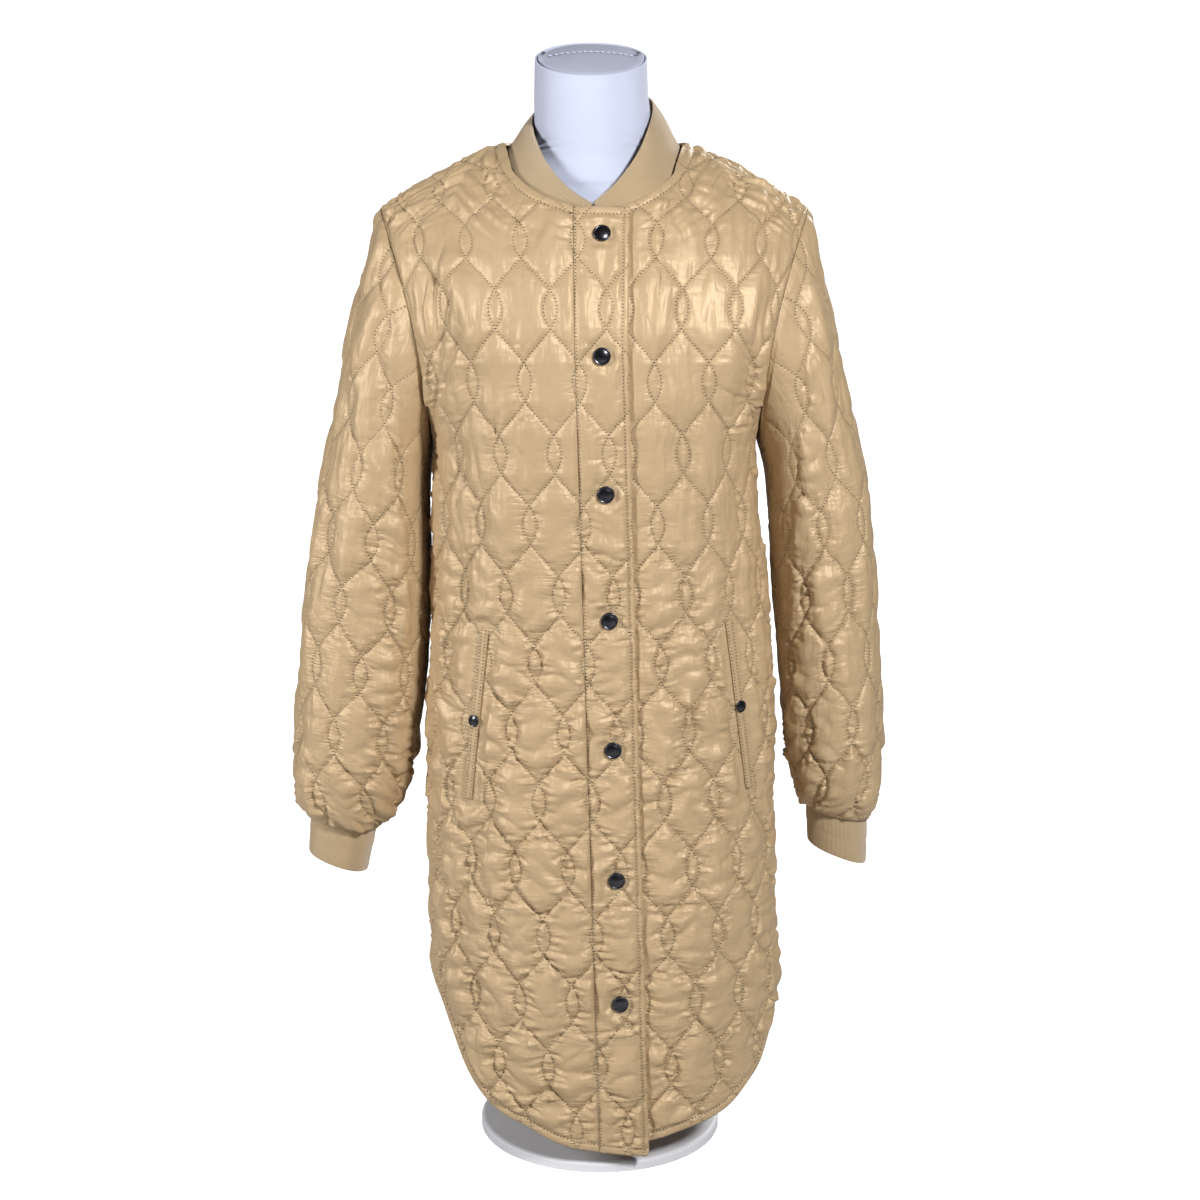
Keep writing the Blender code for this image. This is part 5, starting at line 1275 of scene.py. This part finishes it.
# ---- Cuffs ----
# Short tubes of fine tan rib knit, each a strip folded double along its lower edge. The two raw
# edges are sewn into the gathered end of the sleeve, which the stretch of the ribs draws in.

RIB_WALL = 0.0020        # the knit, folded double
RIB_PITCH, LOOP_PITCH = 0.00125, 0.0010
# Cuff bottoms: outer x, outer z, inner x, inner z, depth
CUFF_END = {
    "right": (0.2765, 0.2745, 0.2210, 0.2540, 0.028), "left": (0.2530, 0.2620, 0.1970, 0.2830, 0.028),
}
rib_knit, tree, shader, _ = finish_of("tan_rib_knit")
rib_uv = on_map(tree, "rib")
around, height_up, _ = split(tree, rib_uv)
wander = speckle(tree, rib_uv, 1.0, 2.0, (60.0, 60.0, 1.0))
across_ribs = reckon(tree, "MULTIPLY", around, 2 * math.pi / RIB_PITCH)
phase_in = reckon(tree, "MULTIPLY_ADD", wander, 1.2, across_ribs)
rib_relief_and_shade = reckon(tree, "MULTIPLY_ADD", reckon(tree, "SINE", phase_in), 0.5, 0.5)
loops = reckon(tree, "SINE", reckon(tree, "MULTIPLY", height_up, 2 * math.pi / LOOP_PITCH))
loops = reckon(tree, "MULTIPLY_ADD", loops, 0.5, 0.5)
fuzz = speckle(tree, rib_uv, 1.0, 3.0, (900.0, 900.0, 1.0))
worn = speckle(tree, rib_uv, 1.0, 3.0, (30.0, 30.0, 1.0))
# The rib wave paints shade into the hollows between the ribs and light on their tops, over the knit's own
# tan; fuzz and a broad noise vary the tone at random
shade = reckon(tree, "MULTIPLY_ADD", rib_relief_and_shade, 0.45, reckon(tree, "MULTIPLY", fuzz, 0.35))
shade = reckon(tree, "MULTIPLY_ADD", worn, 0.30, shade)
tree.links.new(tones(tree, shade, (0.335, 0.235, 0.125), (0.575, 0.425, 0.255)), shader.inputs["Base Color"])
tree.links.new(reckon(tree, "MULTIPLY_ADD", fuzz, 0.12, 0.78), shader.inputs["Roughness"])
for socket, value in (("Sheen Weight", 0.35), ("Sheen Roughness", 0.5), ("Specular IOR Level", 0.25)):
    shader.inputs[socket].default_value = value
knit_height = reckon(tree, "MULTIPLY", rib_relief_and_shade, 0.00030)
for value in (loops, fuzz):
    knit_height = reckon(tree, "MULTIPLY_ADD", value, 0.00008, knit_height)
relief(tree, shader, knit_height, 1.0)


def knit_band(name, rings, closed, replaced):
    """A wall of knit through rings that run up its outside, over the edge and down its inside."""
    rings = np.array(rings)
    rows, columns = rings.shape[:2]
    if closed:
        rings = np.concatenate([rings, rings[:, :1]], axis=1)
        columns += 1
    rings = np.concatenate([rings, rings[:1]])
    around, upward = (np.append(0.0, np.cumsum(np.linalg.norm(np.diff(rings, axis=axis), axis=2)
                                               .mean(axis=1 - axis))) for axis in (1, 0))
    bm = bmesh.new()
    bmesh.ops.create_grid(bm, x_segments=columns - 1, y_segments=rows, size=0.5)
    where = {}
    for vert in bm.verts:
        i, j = round((vert.co.y + 0.5) * rows), round((vert.co.x + 0.5) * (columns - 1))
        vert.co = rings[i, j]
        where[vert] = (around[j], upward[i])
    rib_map = bm.loops.layers.uv.new("rib")
    for face in bm.faces:
        face.smooth = True
        for loop in face.loops:
            loop[rib_map].uv = where[loop.vert]
    bmesh.ops.remove_doubles(bm, verts=bm.verts, dist=0.000001)
    if not closed:
        bmesh.ops.holes_fill(bm, edges=[e for e in bm.edges if e.is_boundary], sides=0)
        bmesh.ops.triangulate(bm, faces=[f for f in bm.faces if len(f.verts) > 4])
    outward(bm)
    return piece(name, bm, rib_knit, replaced)


for side, seed in (("right", 301), ("left", 311)):
    sign = -1.0 if side == "right" else 1.0
    ox, oz, ix, iz, front, back = SLEEVES[side][-1]
    bx, bz, jx, jz, deep = CUFF_END[side]
    # Down the outside with a soft crease across it, round the folded edge, and up the inside
    levels = [(t, float(fair([-0.03, 0.34, 0.68, 0.93], [0.0, 0.0006, 0.0004, 0.0003], t)))
              for t in np.linspace(-0.03, 0.93, 22)]
    turns_under = [(0.965 + 0.035 * math.sin(a), -RIB_WALL / 2 + (RIB_WALL / 2 + 0.0002) * math.cos(a))
                   for a in np.linspace(0.0, math.pi, 9)]
    levels = levels + turns_under + [(t, -RIB_WALL) for t in np.linspace(0.93, -0.03, 8)]
    arm_turns = np.linspace(-math.pi, math.pi, 145)[:-1]
    rings = []
    for level, bulge in levels:
        x1, z1 = ox + (bx - ox) * level, oz + (bz - oz) * level
        x2, z2 = ix + (jx - ix) * level, iz + (jz - iz) * level
        d = front + (deep - front) * level
        half_x, half_z = (x1 - x2) / 2, (z1 - z2) / 2
        size = math.hypot(half_x, half_z)
        wave = ripple(arm_turns * 1.3, np.full(len(arm_turns), level * 2.2), seed)
        crease = math.exp(-((level - 0.52) / 0.05) ** 2) if bulge > -0.0005 else 0.0
        ring = []
        for turn, sway in zip(arm_turns, wave):
            c, s = math.cos(turn), math.sin(turn)
            cc, ss = math.copysign(abs(c) ** 0.92, c), math.copysign(abs(s) ** 0.92, s)
            shrink = GAP * 1.5 - bulge + 0.0004 * (1.0 + sway) * crease
            shrink -= 0.0004 * sway * float(ease(0.1, 0.5, level))
            part = cc * (size - shrink) / size
            x, z = (x1 + x2) / 2 + half_x * part, (z1 + z2) / 2 + half_z * part
            ring.append((sign * x, -(d - shrink) * ss, z))
        rings.append(ring)
    made = knit_band(side + "_cuff", rings, True, ("cuff_" + side,))
    high = math.hypot((ox + ix - bx - jx) / 2, (oz + iz - bz - jz) / 2)

# ---- Collar ----
# A stand-up band of the same rib knit, folded double along its top edge and sewn to the neckline
# by its raw edges. Its ends are turned in and meet in a small V above the placket.

# Top edge: degrees from the front, distance from the centre, y, z
COLLAR = np.array([
    (0, 0.0000, -0.0900, 0.8735), (20, 0.0185, -0.0800, 0.8875), (45, 0.0395, -0.0600, 0.9125),
    (65, 0.0500, -0.0360, 0.9350), (90, 0.0545, -0.0040, 0.9530), (120, 0.0500, 0.0270, 0.9650),
    (150, 0.0310, 0.0500, 0.9710), (180, 0.0000, 0.0580, 0.9730),
])
COLLAR_X, COLLAR_SHIFT = -0.005, -0.0015     # middle of the neckline; of the top edge from there
COLLAR_ENDS = math.radians(0.9)          # the ends stop this far from the front's middle
# Section: share of the height, share of the wall inwards, bow outwards
bowed = ((0.0, 0.30, 0.7, 1.0), (0.0, 0.020, 0.045, 0.0))
section = [(t, 0.0, float(fair(*bowed, t))) for t in np.linspace(0.0, 0.97, 14)]
down = [(t, -1.0, bow) for t, _, bow in section[::-2]]
section += [(0.97 + 0.035 * math.sin(a), -0.5 + 0.5 * math.cos(a), 0.0)
            for a in np.linspace(0.2, math.pi - 0.2, 7)] + down
rings = [[] for _ in section]
half_turn = np.linspace(COLLAR_ENDS, math.pi, 90)
for turn in np.concatenate([half_turn, 2 * math.pi - half_turn[::-1][1:]]):
    angle = turn if turn <= math.pi else 2 * math.pi - turn
    sign = 1.0 if turn <= math.pi else -1.0
    face = "front" if angle <= math.pi / 2 else "back"
    dx, z = neck_place(face, angle if face == "front" else math.pi - angle)
    y = float(depth(face, dx, z))
    low_edge = np.array([sign * dx + COLLAR_X, -y if face == "front" else y, z])
    centre_line = np.array([COLLAR_X, -0.012, z])
    inward = centre_line - low_edge
    set_in = GAP * 2.0 + 0.0016 * float(ease(0.8, 1.6, angle))
    low_edge = low_edge + inward / np.linalg.norm(inward) * set_in
    low_edge[2] -= 0.0024 * float(ease(0.05, 0.35, angle))
    edge = np.array([fair(COLLAR[:, 0], COLLAR[:, k], math.degrees(angle)) for k in (1, 2, 3)])
    edge += (0.0, 0.0, 0.11 * sign * edge[0])
    edge[0] = sign * edge[0] + COLLAR_X + COLLAR_SHIFT
    upright = edge - low_edge
    out = np.cross(np.array([math.cos(turn), math.sin(turn), 0.0]), upright)
    out /= np.linalg.norm(out)
    if out @ (low_edge - centre_line) < 0:
        out = -out
    thick = RIB_WALL * min(1.0, 0.55 + 0.45 * angle / 0.4)
    for ring, (t, share, bow) in zip(rings, section):
        sway = float(ripple(np.array([turn * 2.2]), np.array([t * 1.5]), 331)[0])
        wave = 0.0005 * sway * float(ease(0.15, 0.5, t))
        ring.append(low_edge + upright * t + out * (bow * np.linalg.norm(upright) + share * thick + wave))
made = knit_band("rib_collar", rings, False, ("collar",))

# ---- Pocket welts ----
# Narrow strips of the plain taffeta, folded double and sewn along the steep pocket mouths. Each
# is topstitched near its long edges, and a small snap closes it halfway down.

WELT_WIDTH = 0.0085
WELT_RISE = 0.0016
WELT_SNAP_Z = {"right": 0.423, "left": 0.434}
plain_taffeta = taffeta_cloth("plain_taffeta", False)
welt_spot = {}
# Cross-section of the strip: share of the half width, height; the underside is flat
STRIP = [(math.copysign(abs(math.cos(a)) ** 0.45, math.cos(a)), WELT_RISE * abs(math.sin(a)) ** 0.55)
         for a in np.linspace(math.pi, 0.0, 19)] + [(x, 0.0) for x in np.linspace(0.8, -0.8, 5)]
for side, seed in (("right", 341), ("left", 351)):
    x1, z1, x2, z2 = WELT[side]

    def on_mouth(t, z):
        return cloth("front", x1 + (x2 - x1) * t - float(middle(z)), z)

    rings = []
    for t in np.linspace(0.0, 1.0, 110):
        a, b = on_mouth(t, z1 + (z2 - z1) * t)
        end = 0.72 + 0.28 * math.sqrt(max(0.0, 1.0 - max(0.0, (abs(t - 0.5) - 0.485) / 0.015) ** 2))
        ring = []
        for share, high in STRIP:
            soft = 0.0004 * float(ripple(np.array([share * 0.8]), np.array([t * 16.0]), seed)[0])
            lift = WALL + GAP + 0.0005 + high * end + soft * (high > 0.0008)
            ring.append(on_front(a + share * WELT_WIDTH / 2, b, lift)[0])
        rings.append(ring)
    bm = loft(rings)
    cloth_map, stitch_map = bm.loops.layers.uv.new("cloth"), bm.loops.layers.uv.new("topstitch")
    top, foot = Vector(rings[0][9]), Vector(rings[-1][9])
    line = (foot - top).normalized()
    beside_line = line.cross(Vector((0.0, -1.0, 0.0))).normalized()
    for face in bm.faces:
        for loop in face.loops:
            off = loop.vert.co - top
            run, aside = off.dot(line), off.dot(beside_line)
            loop[cloth_map].uv = (aside, run)
            loop[stitch_map].uv = (abs(aside) - WELT_WIDTH / 2 + 0.0020, run)
    made = piece("pocket_welt_" + side, bm, plain_taffeta, ("welt_" + side,))
    z = WELT_SNAP_Z[side]
    welt_spot[side] = on_front(*on_mouth((z1 - z) / (z1 - z2), z), WALL + GAP * 2.0 + 0.0005 + WELT_RISE)

# ---- Snaps ----
# Pressed caps of gunmetal-plated brass: a rolled rim round a dished ring with a low dome in it.
# Each is riveted through the cloth, seven down the placket and a smaller one on each welt.

gunmetal, tree, shader, where = finish_of("gunmetal")
brushed = speckle(tree, where, 700.0, 3.0)
scuffs = speckle(tree, where, 160.0, 4.0)
tree.links.new(tones(tree, scuffs, (0.028, 0.028, 0.034), (0.105, 0.105, 0.120)), shader.inputs["Base Color"])
tree.links.new(reckon(tree, "MULTIPLY_ADD", brushed, 0.22, 0.14), shader.inputs["Roughness"])
shader.inputs["Metallic"].default_value = 0.95
relief(tree, shader, scuffs, 0.00004)
# Section of the cap from its foot to its middle: distance from the axis and height, in radii
CAP = ((0.0, 0.0), (0.90, 0.0), (0.975, 0.02), (1.0, 0.09), (0.995, 0.17), (0.965, 0.225),
       (0.915, 0.250), (0.865, 0.240), (0.82, 0.205), (0.77, 0.195), (0.70, 0.215), (0.58, 0.260),
       (0.40, 0.300), (0.20, 0.322), (0.0, 0.330))


def snap_cap(name, at, facing, radius, replaced):
    """One cap, spun and set on the cloth."""
    bm = bmesh.new()
    line = [bm.verts.new((r * radius, 0.0, h * radius)) for r, h in CAP]
    edges = [bm.edges.new((a, b)) for a, b in zip(line, line[1:])]
    bmesh.ops.spin(bm, geom=line + edges, axis=(0, 0, 1), cent=(0, 0, 0), steps=48, angle=2 * math.pi,
                   use_merge=True)
    turned = Vector(facing).to_track_quat("Z", "Y").to_matrix().to_4x4()
    turned.translation = Vector(at)
    bmesh.ops.remove_doubles(bm, verts=bm.verts, dist=0.00001)
    bmesh.ops.transform(bm, matrix=turned, verts=bm.verts)
    for face in bm.faces:
        face.smooth = True
    outward(bm)
    piece(name, bm, gunmetal, (replaced,))


for number, snap_v in enumerate(SNAP_V, 1):
    at, facing = on_front(0.0, snap_v, WALL + GAP + 0.0006)
    snap_cap("front_snap_%d" % number, at, facing, SNAP_R, "snap_%d" % number)
for side in ("right", "left"):
    snap_cap("welt_snap_" + side, *welt_spot[side], WELT_SNAP_R, "pocket_snap_" + side)

# ---- Studio ----
# A pale paper floor that sweeps up into a wall, shown clean white, with a soft light in front
# on the right, a second one at the side on the left and a third one behind.

FLOOR_WIDTH, FLOOR_FRONT, FLOOR_LONG = 14.0, -4.0, 5.6
SWEEP_RADIUS, WALL_HIGH = 1.2, 5.0
BEND_FROM, BEND_TO = 0.45, 0.70          # the bend's shares of the paper's rows
floor_mesh = bpy.data.meshes.new("floor")
bm = bmesh.new()
bmesh.ops.create_grid(bm, x_segments=1, y_segments=40, size=0.5)
for vert in bm.verts:
    t = vert.co.y + 0.5
    turn = math.pi / 2 * min(1.0, max(0.0, (t - BEND_FROM) / (BEND_TO - BEND_FROM)))
    flat = min(t, BEND_FROM) / BEND_FROM * FLOOR_LONG + FLOOR_FRONT
    rise = max(0.0, t - BEND_TO) / (1.0 - BEND_TO) * WALL_HIGH
    vert.co = (vert.co.x * FLOOR_WIDTH, flat + SWEEP_RADIUS * math.sin(turn),
               SWEEP_RADIUS * (1.0 - math.cos(turn)) + rise)
for face in bm.faces:
    face.smooth = True
bm.to_mesh(floor_mesh)
bm.free()
floor = bpy.data.objects.new("floor", floor_mesh)
bpy.context.scene.collection.objects.link(floor)
paper, tree, shader, where = finish_of("pale_floor")
tree.links.new(tones(tree, speckle(tree, where, 3.0), (0.50, 0.50, 0.50), (0.52, 0.52, 0.52)),
               shader.inputs["Base Color"])
shader.inputs["Roughness"].default_value = 0.9
shader.inputs["Emission Color"].default_value = (1.0, 1.0, 1.0, 1.0)
seen = tree.nodes.new("ShaderNodeLightPath").outputs["Is Camera Ray"]
tree.links.new(seen, shader.inputs["Emission Strength"])
floor_mesh.materials.append(paper)

world = bpy.data.worlds.new("studio")
world.use_nodes = True
tree = world.node_tree
sky = tree.nodes["Background"].inputs
sky["Color"].default_value = (1.0, 1.0, 1.0, 1.0)
seen = tree.nodes.new("ShaderNodeLightPath").outputs["Is Camera Ray"]
SKY_LIGHT = 0.05         # its share that lights the coat; the camera sees it white
tree.links.new(reckon(tree, "MULTIPLY_ADD", seen, 1.0 - SKY_LIGHT, SKY_LIGHT), sky["Strength"])
bpy.context.scene.world = world
bpy.context.scene.view_settings.view_transform = "Standard"


def soft_light(name, place, aim, size, watts):
    """A flat lamp of a size, at a place and turned to an aim."""
    lamp = bpy.data.lights.new(name, "AREA")
    lamp.shape = "RECTANGLE"
    lamp.size, lamp.size_y = size
    lamp.energy = watts
    made = bpy.data.objects.new(name, lamp)
    made.location = place
    made.rotation_euler = (Vector(aim) - Vector(place)).to_track_quat("-Z", "Y").to_euler()
    bpy.context.scene.collection.objects.link(made)


soft_light("key", (0.95, -1.70, 1.65), (0.0, 0.0, 0.42), (0.26, 0.26), 49.0)
soft_light("left", (-1.8, -0.9, 1.1), (0.0, 0.0, 0.50), (0.3, 0.7), 30.0)
soft_light("back", (0.9, 1.9, 1.75), (0.0, 0.0, 0.50), (0.5, 0.5), 24.0)

lens = bpy.data.cameras.new("camera")
lens.sensor_width = 36.0
lens.lens = 58.95
lens.clip_start = 0.05
camera = bpy.data.objects.new("camera", lens)
camera.location = (0.0, -1.8, 0.831)
camera.rotation_euler = (math.radians(80.0), 0.0, 0.0)
bpy.context.scene.collection.objects.link(camera)
bpy.context.scene.camera = camera
